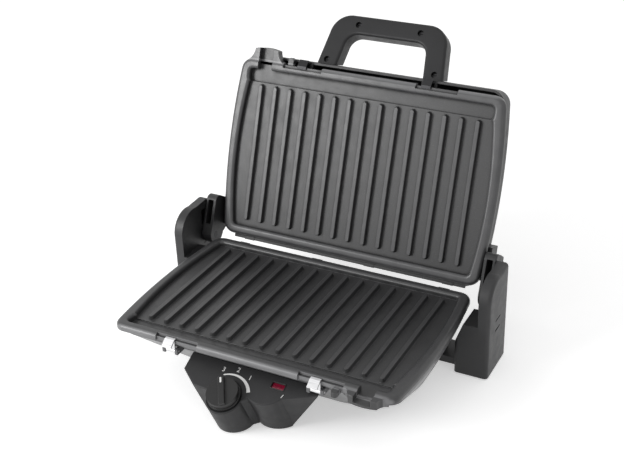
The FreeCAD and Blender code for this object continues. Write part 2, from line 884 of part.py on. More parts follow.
def screw(label, frame, spots, axis_turn):
    """Identical screws of one place, as a group of separate solids."""
    group = []
    for index, spot in enumerate(spots):
        head = doc.addObject("Part::Cylinder", label + "_head%d" % index)
        head.setExpression("Radius", cell("screw_head"))
        head.setExpression("Height", cell("screw_head_high"))
        cross = doc.addObject("Part::Box", label + "_drive%d" % index)
        cross.Length = 3.6
        cross.Width = 0.8
        cross.Height = 2.0
        cross.Placement = Placement(Vector(-1.8, -0.4, val("screw_head_high") - 1.2), Rotation())
        cut = doc.addObject("Part::Cut", label + "_cut%d" % index)
        cut.Base = head
        cut.Tool = cross
        shank = doc.addObject("Part::Cylinder", label + "_shank%d" % index)
        shank.setExpression("Radius", cell("screw_shank"))
        shank.setExpression("Height", cell("screw_length"))
        shank.Placement = Placement(Vector(0, 0, -val("screw_length")), Rotation())
        whole = doc.addObject("Part::Fuse", label + "_%d" % index)
        whole.Base = cut
        whole.Tool = shank
        whole.Placement = Placement(Vector(*spot[:3]), spot[3] if len(spot) > 3 else axis_turn)
        group.append(whole)
    if len(group) == 1:
        made = group[0]
        made.Placement = frame.multiply(made.Placement)
    else:
        made = doc.addObject("Part::Compound", label)
        made.Links = group
        made.Placement = frame
    made.Label = label
    PARTS[label] = made
    doc.recompute()
    return made


def element(label, frame):
    """Tubular heater: one loop under the plate with two ends at the back."""
    body = new_body(label, frame)
    level = -val("plate_height") - val("element_gap") - val("element_radius")
    half = side_at("element_half")
    low = val("element_back")
    high = front_at("element_front")
    bend = val("element_bend")
    cut = bend * (1 - math.sqrt(0.5))
    ends = val("element_ends")
    path = sketch(body, "XY_Plane", level)
    steps = [
        ("L", -ends, low),
        ("L", -half + bend, low),
        ("A", -half + cut, low + cut, -half, low + bend),
        ("L", -half, high - bend),
        ("A", -half + cut, high - cut, -half + bend, high),
        ("L", half - bend, high),
        ("A", half - cut, high - cut, half, high - bend),
        ("L", half, low + bend),
        ("A", half - cut, low + cut, half - bend, low),
        ("L", ends, low),
    ]
    here = Vector(steps[0][1], steps[0][2], 0)
    for step in steps[1:]:
        there = Vector(step[-2], step[-1], 0)
        if step[0] == "L":
            path.addGeometry(Part.LineSegment(here, there), False)
        else:
            path.addGeometry(arc(here, Vector(step[1], step[2], 0), there), False)
        here = there
    ring = sketch(body, "YZ_Plane", -ends)
    circle(ring, low, level, cell("element_radius"))
    tube = body.newObject("PartDesign::AdditivePipe", "Tube")
    tube.Profile = ring
    tube.Spine = (path, [])
    doc.recompute()
    return body


def tray(label, frame):
    """Thin reflector tray with an upturned lip below the heater."""
    body = new_body(label, frame)
    sides = (cell("-plate_width/2-tray_half"), cell("plate_width/2+tray_half"), cell("tray_back"),
             cell("plate_depth+tray_front"))
    made = sketch(body, "XY_Plane", cell("-tray_drop"))
    rect(made, *sides)
    pad(body, made, cell("tray_lip"))
    made = sketch(body, "XY_Plane", cell("tray_lip-tray_drop"))
    inner = ("tray_sheet-plate_width/2-tray_half", "plate_width/2+tray_half-tray_sheet", "tray_back+tray_sheet",
             "plate_depth+tray_front-tray_sheet")
    rect(made, *[cell(side) for side in inner])
    pocket(body, made, cell("tray_lip-tray_sheet"))
    return body


def saddles(label, frame):
    """Ceramic saddles that hold the heater off the tray."""
    body_list = []
    low = -val("tray_drop") + val("tray_sheet")
    high = -val("plate_height") - val("element_gap") - 2 * val("element_radius")
    length = val("saddle_length")
    width = val("saddle_width")
    spots = (
        (-side_at("element_half"), (val("element_back") + front_at("element_front")) / 2),
        (side_at("element_half"), (val("element_back") + front_at("element_front")) / 2),
        (0.0, front_at("element_front")),
    )
    for index, spot in enumerate(spots):
        block = doc.addObject("Part::Box", label + "_%d" % index)
        block.setExpression("Length", cell("saddle_width"))
        block.setExpression("Width", cell("saddle_length"))
        block.Height = high - low
        block.Placement = Placement(Vector(spot[0] - width / 2, spot[1] - length / 2, low), Rotation())
        body_list.append(block)
    made = doc.addObject("Part::Compound", label)
    made.Links = body_list
    made.Placement = frame
    made.Label = label
    PARTS[label] = made
    doc.recompute()


def tower(label, side):
    """Hinge tower: foot block, tall ear with a round shoulder, guide slot, marks and a lug under the pan."""
    body = new_body(label, BASE)
    outer = side_at("tower_outer")
    ear = outer - val("ear_thick")
    front = -val("tower_front")
    back = val("tower_back")
    foot = val("foot_height")
    shoulder = rim_at("ear_shoulder")
    bend = val("ear_bend")
    top = rim_at("ear_top")
    made = sketch(body, "YZ_Plane", side * (outer + ear) / 2)
    draw(made, [
        ("L", front, foot),
        ("L", back, foot),
        ("L", back, top - 3.0),
        ("A", back - 0.9, top - 0.9, back - 3.0, top),
        ("L", front + bend + 6.0, top - 1.0),
        ("A", front + 6.5, top - 8.0, front, shoulder),
        ("L", front, foot),
    ])
    pad(body, made, cell("ear_thick"), middle=True)
    fillet(body, cell("tower_round"), lambda e: flat_at(e, 0, side * outer) and not flat_at(e, 2, foot))
    inner = side_at("tower_inner")
    root = side * (ear + 1.0)
    turn = val("tower_round")
    bow = turn * (1 - math.sqrt(0.5))
    end = front + val("block_depth")
    made = sketch(body, "XY_Plane", cell("foot_height"))
    draw(made, [
        ("L", root, front),
        ("L", side * (inner + turn), front),
        ("A", side * (inner + bow), front + bow, side * inner, front + turn),
        ("L", side * inner, end - turn),
        ("A", side * (inner + bow), end - bow, side * (inner + turn), end),
        ("L", root, end),
        ("L", root, front),
    ])
    pad(body, made, cell("rim_height+tower_block-foot_height"))
    block = rim_at("tower_block")
    made = sketch(body, "XZ_Plane", -front - val("block_depth") / 2)
    polygon(made, [
        (side * (inner - 1.0), block - val("relief_drop")),
        (side * (inner + val("relief_across")), block + 1.0),
        (side * (inner - 1.0), block + 1.0),
    ])
    pocket(body, made, cell("2*block_depth"), middle=True)
    pivot = lid_pivot()
    tall = val("slider_height") + val("float_travel")
    low = pivot[1] - val("slider_height") / 2
    half = val("slot_width") / 2 + val("slide_play")
    made = sketch(body, "YZ_Plane", side * ear)
    rect(made, pivot[0] - half, pivot[0] + half, low - 0.4, low + tall + 0.4)
    pocket(body, made, cell("2*slot_depth"), middle=True)
    made = sketch(body, "YZ_Plane", side * outer)
    for level in (47.0, 58.5):
        rect(made, -21.0, -21.0 + val("mark_length"), level, level + val("mark_height"))
    pocket(body, made, cell("2*mark_deep"), middle=True)
    floor = val("pan_floor_height")
    made = sketch(body, "XY_Plane", cell("pan_floor_height"))
    ends = sorted((side * (inner - val("lug_reach")), side * (inner + 2.0)))
    rect(made, ends[0], ends[1], -val("lug_depth") - 4.0, -4.0)
    pad(body, made, 8.0, reverse=True)
    made = sketch(body, "XY_Plane")
    for spot in tower_screw_spots(side):
        circle(made, spot[0], spot[1], cell("screw_shank+fit_play"))
    pocket(body, made, floor + 4.0, reverse=True)
    return body


def tower_screw_spots(side):
    """Places (X, Y) of the two screws that hold a tower's lug under the pan."""
    across = side * (side_at("tower_inner") - val("lug_reach") + 8.0)
    return ((across, -12.0), (across, -26.0))


def slider(label, side):
    """Block that slides in the tower's slot and lets the lid float."""
    body = new_body(label, BASE)
    pivot = lid_pivot()
    ear = side_at("tower_outer") - val("ear_thick")
    start = side * (ear + 0.2)
    made = sketch(body, "YZ_Plane", start)
    half = val("slot_width") / 2
    tall = val("slider_height") / 2
    rect(made, pivot[0] - half, pivot[0] + half, pivot[1] - tall, pivot[1] + tall)
    pad(body, made, cell("slider_thick"), reverse=side < 0)
    made = sketch(body, "YZ_Plane", start)
    circle(made, pivot[0], pivot[1], cell("pin_radius"))
    pocket(body, made, cell("slider_thick*2+2"), middle=True)
    return body


def hinge_pin(label, side):
    """Pin pressed into the slider and running in the arm's hub."""
    body = new_body(label, BASE)
    pivot = lid_pivot()
    ear = side_at("tower_outer") - val("ear_thick")
    made = sketch(body, "YZ_Plane", side * (ear + 0.2 + val("slider_thick")))
    circle(made, pivot[0], pivot[1], cell("pin_radius"))
    pad(body, made, cell("slider_thick+0.2+arm_gap+arm_thick"), reverse=side > 0)
    return body


def handle_outline():
    """Loop of the handle: outer outline then grip opening, both open at the lid."""
    base = val("handle_base")
    shoulder = val("handle_shoulder")
    rise = val("handle_shoulder_rise")
    top = val("handle_top_half")
    high = val("handle_height")
    inner = val("grip_base")
    neck = val("grip_shoulder")
    neck_rise = val("grip_shoulder_rise")
    flat = val("grip_top_half")
    grip = val("grip_height")
    swell = val("handle_swell")
    crown = val("handle_crown")
    dent = val("grip_swell")
    arch = val("grip_crown")
    low = -val("handle_root")
    return [
        ("L", base, low),
        ("L", shoulder, rise),
        ("A", (shoulder + top) / 2 + swell, (rise + high) / 2 + crown, top, high),
        ("L", -top, high),
        ("A", -(shoulder + top) / 2 - swell, (rise + high) / 2 + crown, -shoulder, rise),
        ("L", -base, low),
        ("L", -inner, low),
        ("L", -neck, neck_rise),
        ("A", -(neck + flat) / 2 - dent, (neck_rise + grip) / 2 + arch, -flat, grip),
        ("L", flat, grip),
        ("A", (neck + flat) / 2 + dent, (neck_rise + grip) / 2 + arch, neck, neck_rise),
        ("L", inner, low),
        ("L", base, low),
    ]


def handle_spots():
    """Places of the four handle screws in the handle's own plane."""
    spots = []
    for side in (-1, 1):
        spots.append((side * val("handle_screw_low"), val("handle_screw_low_rise")))
        spots.append((side * val("handle_screw_high"), val("handle_screw_high_rise")))
    return spots


def handle_half(label, front):
    """One moulded half of the handle, cut off square on the lid's front wall."""
    body = new_body(label, HANDLE)
    made = sketch(body, "XY_Plane", None if front else cell("-handle_half"))
    draw(made, handle_outline())
    pad(body, made, cell("handle_half"), reverse=True)
    level = 0.0 if front else -2 * val("handle_half")
    fillet(body, cell("handle_round"), lambda e: flat_at(e, 2, level) and not flat_at(e, 1, -val("handle_root")))
    lean = math.radians(val("handle_lean"))
    made = sketch(body, "YZ_Plane")
    deep = 2 * val("handle_half") + 6.0
    draw(made, [
        ("L", -40.0, 6.0),
        ("L", -40.0, -deep),
        ("L", deep * math.tan(lean), -deep),
        ("L", -6.0 * math.tan(lean), 6.0),
        ("L", -40.0, 6.0),
    ])
    pocket(body, made, cell("3*handle_base"), middle=True)
    if front:
        made = sketch(body)
        for spot in handle_spots():
            circle(made, spot[0], spot[1], cell("screw_head+0.4"))
        pocket(body, made, cell("screw_sink+screw_head_high"))
        made = sketch(body)
        for spot in handle_spots():
            circle(made, spot[0], spot[1], cell("screw_shank+fit_play"))
        pocket(body, made, cell("handle_half+1"))
    else:
        made = sketch(body, "XY_Plane", cell("-handle_half"))
        for spot in handle_spots():
            circle(made, spot[0], spot[1], cell("screw_shank"))
        pocket(body, made, cell("screw_length+screw_sink+screw_head_high-handle_half"))
    return body


def pod_outline(margin):
    """Front outline of the control pod in the plane of its sloping panel."""
    left = -val("pod_left") + margin
    right = val("pod_right") - margin
    lobe = -val("lobe_across")
    radius = val("lobe_radius") - margin
    return [
        ("L", left, 44.0),
        ("L", left, 16.0 + margin),
        ("L", -48.7 + margin, 2.2 + margin),
        ("L", lobe - radius, 1.0 + margin),
        ("L", lobe - radius, -1.0),
        ("A", lobe, -1.0 - radius, lobe + radius, -1.0),
        ("L", lobe + radius + 4.5, 4.0 + margin),
        ("A", 25.5 - margin * 0.3, 1.6 + margin, 41.0 - margin * 0.4, 12.6 + margin),
        ("L", right, 25.5 + margin),
        ("L", right, 44.0),
        ("L", left, 44.0),
    ]


def control_pod():
    """Moulded pod: sloping panel, knob lobe, flared flanks, undercut front, hollow inside."""
    body = new_body("pod_block", POD)
    made = sketch(body)
    draw(made, pod_outline(0.0))
    pad(body, made, 80.0, reverse=True)
    flare(body, 0.0)
    trim_pod(body, 0.0)
    fillet(body, cell("clip_sheet"), lambda e: flat_at(e, 2, 0.0))
    core = new_body("pod_core", POD)
    made = sketch(core, "XY_Plane", cell("-pod_wall"))
    draw(made, pod_outline(val("pod_wall")))
    pad(core, made, 90.0, reverse=True)
    flare(core, val("pod_wall"))
    trim_pod(core, val("pod_wall"))
    hollow = doc.addObject("Part::Cut", "pod_hollow")
    hollow.Base = body
    hollow.Tool = core
    doc.recompute()
    holes = doc.addObject("Part::Compound", "pod_holes")
    bore = doc.addObject("Part::Cylinder", "pod_bore")
    bore.setExpression("Radius", cell("shaft_radius+fit_play"))
    bore.Height = 20.0
    bore.Placement = Placement(Vector(-val("lobe_across"), 0, -10.0), Rotation())
    seat = doc.addObject("Part::Box", "pod_window")
    seat.setExpression("Length", cell("lens_length+2*lens_play"))
    seat.setExpression("Width", cell("lens_width+2*lens_play"))
    seat.Height = 20.0
    corner = Vector(val("lamp_across") - val("lens_length") / 2 - val("lens_play"),
                    val("lamp_up") - val("lens_width") / 2 - val("lens_play"), -10.0)
    seat.Placement = Placement(corner, Rotation())
    dish = doc.addObject("Part::Cylinder", "pod_dish")
    dish.setExpression("Radius", cell("knob_recess"))
    dish.Height = 10.0
    dish.Placement = Placement(Vector(-val("lobe_across"), 0, -val("knob_recess_deep")), Rotation())
    holes.Links = [bore, seat, dish]
    holes.Placement = POD
    whole = doc.addObject("Part::Cut", "control_pod")
    whole.Base = hollow
    whole.Tool = holes
    whole.Label = "control_pod"
    PARTS["control_pod"] = whole
    del PARTS["pod_block"]
    del PARTS["pod_core"]
    doc.recompute()
    pod_cover(core)


def flare(body, margin):
    """Slant both flanks of the pod inward towards the table."""
    made = sketch(body, "XZ_Plane")
    deep = val("pod_flare_deep")
    for side, top, foot in ((-1, val("pod_left"), val("pod_left_foot")), (1, val("pod_right"), val("pod_right_foot"))):
        lean = (top - foot) / deep
        corner = side * (top - margin)
        end = side * (top - margin - lean * 95.0)
        far = side * 160.0
        points = [(corner, 0.0), (end, -95.0), (far, -95.0), (far, 0.0)]
        for index in range(4):
            here = Vector(points[index][0], points[index][1], 0)
            there = Vector(points[(index + 1) % 4][0], points[(index + 1) % 4][1], 0)
            made.addGeometry(Part.LineSegment(here, there), False)
    pocket(body, made, 400.0, middle=True)


def pod_plane(point):
    """World (Y, Z) of a point seen in the pod's own (Y, Z)."""
    slope = math.radians(val("panel_slope"))
    back = point[0] + front_at("pod_forward")
    rise = point[1] - rim_at("pod_rise")
    return (
        back * math.cos(slope) + rise * math.sin(slope),
        -back * math.sin(slope) + rise * math.cos(slope),
    )


def trim_pod(body, margin):
    """Cut the pod level above the table and back from the pan's sloping front wall."""
    foot = val("foot_height")
    made = sketch(body, "YZ_Plane")
    corners = [pod_plane(p) for p in ((-400.0, foot), (0.0, foot), (0.0, -200.0), (-400.0, -200.0))]
    polygon(made, corners)
    pocket(body, made, 500.0, middle=True)
    top = val("rim_height") - val("plate_height") - val("seam") - val("pan_band")
    front = -(val("plate_depth") - val("pan_front_inset"))
    floor = val("pan_floor_height")
    rear = -front_at("pan_floor_front")
    gap = val("seam") + margin
    run = (rear - front) / (top - floor)
    made = sketch(body, "YZ_Plane")
    corners = [pod_plane(p) for p in (
        (front - gap - run * 60.0, top + 60.0),
        (front - gap, top),
        (rear - gap, floor - gap),
        (rear - gap + 20.0, floor - gap),
        (rear - gap + 20.0, -60.0),
        (80.0, -60.0),
        (80.0, top + 60.0),
    )]
    polygon(made, corners)
    pocket(body, made, 500.0, middle=True)


def polygon(made, points):
    """Closed run of straight lines in a sketch."""
    for index in range(len(points)):
        here = points[index]
        there = points[(index + 1) % len(points)]
        made.addGeometry(Part.LineSegment(Vector(here[0], here[1], 0), Vector(there[0], there[1], 0)), False)


def pod_cover(core):
    """Flat cover that closes the pod from below."""
    slab = doc.addObject("Part::Box", "pod_slab")
    slab.Length = 300.0
    slab.Width = 200.0
    slab.setExpression("Height", cell("pod_wall"))
    corner = Vector(val("pod_across") - 150.0, val("origin_shift") - front_at("pod_forward") - 60.0, val("foot_height"))
    slab.Placement = Placement(corner, Rotation())
    cover = doc.addObject("Part::Common", "pod_cover")
    cover.Base = core
    cover.Tool = slab
    cover.Label = "pod_cover"
    PARTS["pod_cover"] = cover
    doc.recompute()


def knob():
    """Round knob with a grip bar across it and a blind bore for the shaft."""
    frame = POD * Placement(Vector(-val("lobe_across"), 0, val("knob_lift")), Rotation(Z_AXIS, val("knob_rest")))
    body = new_body("control_knob", frame)
    made = sketch(body)
    circle(made, 0.0, 0.0, cell("knob_radius"))
    pad(body, made, cell("knob_skirt"))
    made = sketch(body)
    circle(made, 0.0, 0.0, cell("knob_radius-1"))
    pad(body, made, cell("knob_height-3"))
    half = val("knob_grip") / 2
    reach = val("knob_radius") - 1.6
    made = sketch(body)
    rect(made, -half, half, -reach, reach)
    pad(body, made, cell("knob_height"))
    fillet(body, cell("fit_play*16"), lambda e: flat_at(e, 2, val("knob_height")))
    made = sketch(body)
    circle(made, 0.0, 0.0, cell("shaft_radius"))
    pocket(body, made, cell("shaft_rise-knob_lift"), reverse=True)
    return body


def thermostat():
    """Thermostat case under the panel and its turning shaft."""
    frame = POD * Placement(Vector(-val("lobe_across"), 0, 0), Rotation())
    body = new_body("thermostat_case", frame)
    made = sketch(body, "XY_Plane", cell("-pod_wall"))
    rect(made, cell("-thermostat_side/2"), cell("thermostat_side/2"), cell("-thermostat_side/2"),
         cell("thermostat_side/2"))
    pad(body, made, cell("thermostat_deep"), reverse=True)
    made = sketch(body, "XY_Plane", cell("-pod_wall"))
    circle(made, 0.0, 0.0, cell("shaft_radius+fit_play"))
    pocket(body, made, cell("shaft_deep-pod_wall+0.3"))
    body = new_body("thermostat_shaft", frame)
    made = sketch(body, "XY_Plane", cell("-shaft_deep"))
    circle(made, 0.0, 0.0, cell("shaft_radius"))
    pad(body, made, cell("shaft_deep+shaft_rise"))


def lamp():
    """Red lens in the panel's window and the small lamp behind it."""
    frame = POD * Placement(Vector(val("lamp_across"), val("lamp_up"), 0), Rotation())
    body = new_body("indicator_lens", frame)
    made = sketch(body, "XY_Plane", cell("-lens_sink"))
    rect(made, cell("-lens_length/2"), cell("lens_length/2"), cell("-lens_width/2"), cell("lens_width/2"))
    pad(body, made, cell("pod_wall-lens_sink"), reverse=True)
    made = sketch(body, "XY_Plane", cell("-pod_wall"))
    rect(made, cell("-lens_length/2-lens_flange"), cell("lens_length/2+lens_flange"), cell("-lens_width/2-lens_flange"),
         cell("lens_width/2+lens_flange"))
    pad(body, made, 1.2, reverse=True)
    body = new_body("indicator_lamp", frame)
    made = sketch(body, "YZ_Plane")
    circle(made, 0.0, -val("pod_wall") - 1.2 - val("lamp_radius"), cell("lamp_radius"))
    pad(body, made, cell("lamp_length"), middle=True)


def feet():
    """Round rubber feet under both towers and the pod."""
    spots = []
    across = (side_at("tower_outer") + side_at("tower_inner")) / 2
    ear = side_at("tower_outer") - val("ear_thick") / 2
    for side in (-1, 1):
        spots.append((side * across, -val("tower_front") + 10.0))
        spots.append((side * ear, val("tower_back") - 9.0))
    spots.append((val("pod_across") - val("lobe_across"), -front_at("foot_lobe")))
    spots.append((val("pod_across") + 2 * val("lobe_across"), -front_at("foot_flank")))
    group = []
    for index, spot in enumerate(spots):
        foot = doc.addObject("Part::Cylinder", "foot_%d" % index)
        foot.setExpression("Radius", cell("foot_radius"))
        foot.setExpression("Height", cell("foot_height"))
        foot.Placement = Placement(Vector(spot[0], spot[1], 0), Rotation())
        group.append(foot)
    made = doc.addObject("Part::Compound", "rubber_feet")
    made.Links = group
    made.Placement = BASE
    made.Label = "rubber_feet"
    PARTS["rubber_feet"] = made
    doc.recompute()


def gland():
    """Inlet bush in the pan's back wall."""
    spot = Vector(val("gland_across"), -val("pan_rear") - val("wall"), rim_at("gland_height"))
    body = new_body("inlet_gland", SHIFT * Placement(spot, Rotation(X_AXIS, -90)))
    made = sketch(body)
    circle(made, 0.0, 0.0, cell("gland_radius"))
    pad(body, made, cell("wall+gland_out"))
    made = sketch(body, "XY_Plane", cell("wall"))
    circle(made, 0.0, 0.0, cell("gland_flange"))
    pad(body, made, 2.0)
    made = sketch(body)
    circle(made, 0.0, 0.0, cell("gland_bore"))
    pocket(body, made, cell("wall+gland_out+1"), reverse=True)


def build():
    """Make every piece of the grill."""
    for half, frame, spots in (
        ("lower", LOW, (side_at("low_clip_left"), -side_at("low_clip_right"))),
        ("upper", LID, (-side_at("lid_clip_left"), side_at("lid_clip_right"))),
    ):
        grill_plate(half + "_grill_plate", frame, half + "_spout_reach")
        element(half + "_heater", frame)
        tray(half + "_reflector", frame)
        saddles(half + "_heater_saddles", frame)
        for name, spot in zip(("left", "right"), spots):
            clip("%s_clip_%s" % (half, name), frame, spot)
            clip_pin("%s_clip_pin_%s" % (half, name), frame, spot)
    lower_pan()
    lid_shell()
    for name, side in (("left", -1), ("right", 1)):
        tower("tower_" + name, side)
        slider("hinge_slider_" + name, side)
        hinge_pin("hinge_pin_" + name, side)
        hinge_arm("hinge_arm_" + name, side)
    outer = side_at("tower_outer") - val("ear_thick") - val("arm_gap")
    seat = outer - val("screw_sink")
    spots = []
    for side in (-1, 1):
        for spot in arm_screw_spots():
            spots.append((side * seat, spot[0], spot[1], Rotation(Y_AXIS, 90 * side)))
    screw("arm_screws", LID, spots, None)
    handle_half("handle_front", True)
    handle_half("handle_back", False)
    sink = -val("screw_sink") - val("screw_head_high")
    screw("handle_screws", HANDLE, [(x, y, sink) for x, y in handle_spots()], Rotation())
    spots = []
    for side in (-1, 1):
        for spot in tower_screw_spots(side):
            spots.append((spot[0], spot[1], val("pan_floor_height") - 8.0))
    screw("tower_screws", BASE, spots, Rotation(X_AXIS, 180))
    control_pod()
    knob()
    thermostat()
    lamp()
    feet()
    gland()


def check_and_write():
    """Refuse a failed or broken piece, then write one file for each."""
    doc.recompute()
    for item in doc.Objects:
        if "Invalid" in item.State or "Error" in item.State:
            raise RuntimeError("%s is not sound: %s" % (item.Name, item.State))
    os.makedirs("parts", exist_ok=True)
    for label, item in PARTS.items():
        shape = item.Shape
        if shape.isNull() or not shape.isValid() or not shape.Solids:
            raise RuntimeError("%s has no sound solid" % label)
        shape.exportStep(os.path.join("parts", label + ".step"))


build()
check_and_write()
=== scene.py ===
"""Electric contact grill: finishes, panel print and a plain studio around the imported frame."""

import json
import math

import bmesh
import bpy
from mathutils import Matrix, Vector


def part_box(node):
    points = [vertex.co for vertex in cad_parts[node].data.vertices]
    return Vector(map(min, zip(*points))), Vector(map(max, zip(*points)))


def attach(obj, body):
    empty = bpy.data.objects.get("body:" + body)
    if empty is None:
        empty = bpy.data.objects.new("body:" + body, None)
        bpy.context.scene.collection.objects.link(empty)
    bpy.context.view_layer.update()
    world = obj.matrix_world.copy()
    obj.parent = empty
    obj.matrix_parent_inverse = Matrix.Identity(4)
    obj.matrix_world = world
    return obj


bl_info = {
    "name": "Contact Grill",
    "version": (1, 0, 0),
    "blender": (4, 5, 0),
    "location": "View3D > Sidebar > Grill",
    "description": "Finishes, panel print and studio for an open contact grill",
    "category": "Object",
}

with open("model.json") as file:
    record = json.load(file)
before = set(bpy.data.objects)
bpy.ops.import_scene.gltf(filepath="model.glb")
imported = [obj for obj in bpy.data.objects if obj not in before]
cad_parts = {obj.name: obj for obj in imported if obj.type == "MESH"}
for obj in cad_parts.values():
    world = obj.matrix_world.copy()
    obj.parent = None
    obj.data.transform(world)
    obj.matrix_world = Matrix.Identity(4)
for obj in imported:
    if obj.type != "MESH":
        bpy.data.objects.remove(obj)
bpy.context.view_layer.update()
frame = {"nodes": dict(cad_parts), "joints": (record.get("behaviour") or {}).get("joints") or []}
NODES = frame["nodes"]
JOINTS = {joint["name"]: joint for joint in frame["joints"]}

# The open lid's lean, and the sloping panel with its origin under the knob
LEAN = math.radians(JOINTS["lid_hinge"]["range_deg"][1] - 90.0)
TURN_AXIS = Vector(JOINTS["knob_turn"]["axis"]).normalized()
KNOB_SPOT = Vector(JOINTS["knob_turn"]["pos_m"])
PANEL_UP = -TURN_AXIS
PANEL_RISE = PANEL_UP.cross(Vector((1.0, 0.0, 0.0)))
PANEL = Matrix((
    (1.0, PANEL_RISE.x, PANEL_UP.x, KNOB_SPOT.x),
    (0.0, PANEL_RISE.y, PANEL_UP.y, KNOB_SPOT.y),
    (0.0, PANEL_RISE.z, PANEL_UP.z, KNOB_SPOT.z),
    (0.0, 0.0, 0.0, 1.0),
))

# Plates: how far the spout passes the front skirt in metres, and how strongly the painted crest highlight
# and painted corner shade show on each plate
LOWER_LIP = 0.0085
UPPER_LIP = 0.0135
LOWER_PAINTED_LIGHT = 0.3
UPPER_PAINTED_LIGHT = 0.85

# Bands over which a plate's colour changes, counted in metres from rim level or from the skirt's face:
# painted highlight on the rib crests, lighter front skirt with a painted sheen, and the reach of the
# painted corner shade
CREST_BAND = (-0.0032, -0.0016)
FACE_BAND = (-0.0019, -0.001)
NOSE_BAND = (-0.0036, -0.0018)
NOSE_DEPTH = (-0.0024, -0.0018)
END_BAND = (-0.0125, -0.0115)
SPOUT_BAND = (0.0008, 0.0002)
CORNER_SHADE_REACH = 0.0045

# Bands without a unit: how squarely a face looks forward, how open a corner is for the painted corner
# shade, how sharp an edge is
FACING_BAND = (0.6, 0.8)
CORNER_SHADE_BAND = (0.9, 0.45)
EDGE_BAND = (0.995, 0.86)

# Colours of pieces that hardly show from outside
BRIGHT_SHEET = (0.78, 0.78, 0.8)
CASE_RESIN = (0.62, 0.6, 0.55)
SHEATH_STRAW = (0.10, 0.085, 0.07)
SHEATH_BLUE = (0.16, 0.16, 0.19)
SHEATH_PIT = (0.05, 0.045, 0.04)
CLAY_DARK = (0.72, 0.69, 0.62)
CLAY_PALE = (0.84, 0.82, 0.77)
CLAY_PORE = (0.45, 0.42, 0.36)
RUBBER_BLACK = (0.016, 0.016, 0.016)
RUBBER_BLOOM = (0.034, 0.034, 0.033)
GLASS_DEEP = (0.9, 0.42, 0.28)
GLASS_PALE = (0.95, 0.55, 0.38)

# Print and trim on the panel, in metres and degrees
PRINT_GAP = 0.00002
DIGITS = (("3", 118.0), ("2", 88.0), ("1", 57.0))
FONT_SCALE = 1.42
TICK_SIZE = (0.0007, 0.0042)
TICK_CORNER = 0.0003
TICK_SPOT = (0.0537, 0.0154)
TICK_TURN = math.radians(-18.0)
MARK_CORNER = 0.0005
MARK_REACH = 0.0108
WINDOW_SIZE = (0.0128, 0.006)
WINDOW_BORDER = 0.0011
WINDOW_THICK = 0.0005
WINDOW_CORNER = 0.0005

# Mesh work: corners with their first angle, frame section in shares, weld distances in metres
CORNERS = ((1, 1, 0.0), (-1, 1, 90.0), (-1, -1, 180.0), (1, -1, 270.0))
CORNER_STEPS = 5
FRAME_SECTION = ((0.0, 0.0), (-0.25, 1.0), (-0.75, 1.0), (-1.0, 0.0))
FACET_WELD = 0.000002
BAND_WELD = 0.000001
PRINT_WELD = 0.0000005
SMOOTH_ANGLE = math.radians(32.0)

# Stage: lamp from front left, share of the sky's light at the horizon and overhead, solved camera
STAGE_MIDDLE = Vector((0.0, 0.0, 0.12))
KEY_OFFSET = Vector((-1.0, -1.2, 0.66))
KEY_SIZE = 0.75
FLOOR_HALF = 6.0
WHITE = (1.0, 1.0, 1.0, 1.0)
SKY_LOW = 0.2
SKY_HIGH = 1.35
SENSOR_WIDTH = 36.0
CAMERA_SHIFT = (-0.07596, -0.0177)
CAMERA_TURN = math.radians(25.89)
CAMERA_TILT = math.radians(27.82)
CAMERA_ROLL = math.radians(-0.88)
CAMERA_SPOT = Vector((0.46107, -0.8586, 0.65786))


def colour_prop(label, text, value):
    """Colour that the sidebar lets a user change."""
    return bpy.props.FloatVectorProperty(
        name=label, description=text, subtype="COLOR", size=3, min=0.0, max=1.0, default=value
    )


def length_prop(label, text, value):
    """Length in metres that the sidebar lets a user change."""
    return bpy.props.FloatProperty(
        name=label, description=text, unit="LENGTH", precision=5, default=value
    )


def angle_prop(label, text, degrees):
    """Angle that the sidebar lets a user change."""
    return bpy.props.FloatProperty(
        name=label, description=text, subtype="ANGLE", default=math.radians(degrees)
    )


class GrillFinish(bpy.types.PropertyGroup):
    """Colours of the grill's finishes."""

    coating: colour_prop("Coating", "Non-stick coating of both plates", (0.029, 0.029, 0.030))
    # Colour of the lighter front skirt: thin coating there, with the pale floor's sheen painted in
    casting: colour_prop("Casting", "Thin coating on the plates' front skirt", (0.185, 0.185, 0.19))
    casing: colour_prop("Casing", "Moulded plastic of towers, pod and lid", (0.021, 0.021, 0.022))
    handle: colour_prop("Handle", "Moulded plastic of the handle", (0.015, 0.015, 0.016))
    pan: colour_prop("Pan", "Painted sheet of the lower pan", (0.115, 0.115, 0.12))
    knob: colour_prop("Knob", "Moulded plastic of the knob", (0.012, 0.012, 0.012))
    steel: colour_prop("Steel", "Bright steel of the lower clips and pins", (0.72, 0.72, 0.73))
    blacked: colour_prop("Blacked Steel", "Upper clips, hinge pins and screws", (0.050, 0.050, 0.052))
    lens: colour_prop("Lens", "Red plastic of the lamp's lens", (0.26, 0.008, 0.035))
    ink: colour_prop("Ink", "White print on panel and knob", (0.82, 0.82, 0.81))


class GrillSizes(bpy.types.PropertyGroup):
    """Sizes of the pieces that are added to the frame."""

    band_radius: length_prop("Band Radius", "Middle of the printed heat band", 0.0229)
    band_thin: length_prop("Band Thin End", "Width of the band at its thin end", 0.0012)
    band_wide: length_prop("Band Wide End", "Width of the band at its wide end", 0.0034)
    band_start: angle_prop("Band Start", "Where the thin end lies", 119.0)
    band_sweep: angle_prop("Band Sweep", "Turn from the thin to the wide end", -94.0)
    print_high: length_prop("Print Height", "How far print stands above its ground", 0.00012)
    digit_high: length_prop("Digit Height", "Height of the numbers on the panel", 0.0048)
    digit_radius: length_prop("Digit Radius", "How far the numbers lie from the knob's middle", 0.0287)
    mark_width: length_prop("Mark Width", "Width of the knob's pointer", 0.0018)
    mark_length: length_prop("Mark Length", "Length of the knob's pointer", 0.0056)
    mark_turn: angle_prop("Mark Turn", "Where the pointer lies at rest", 29.0)


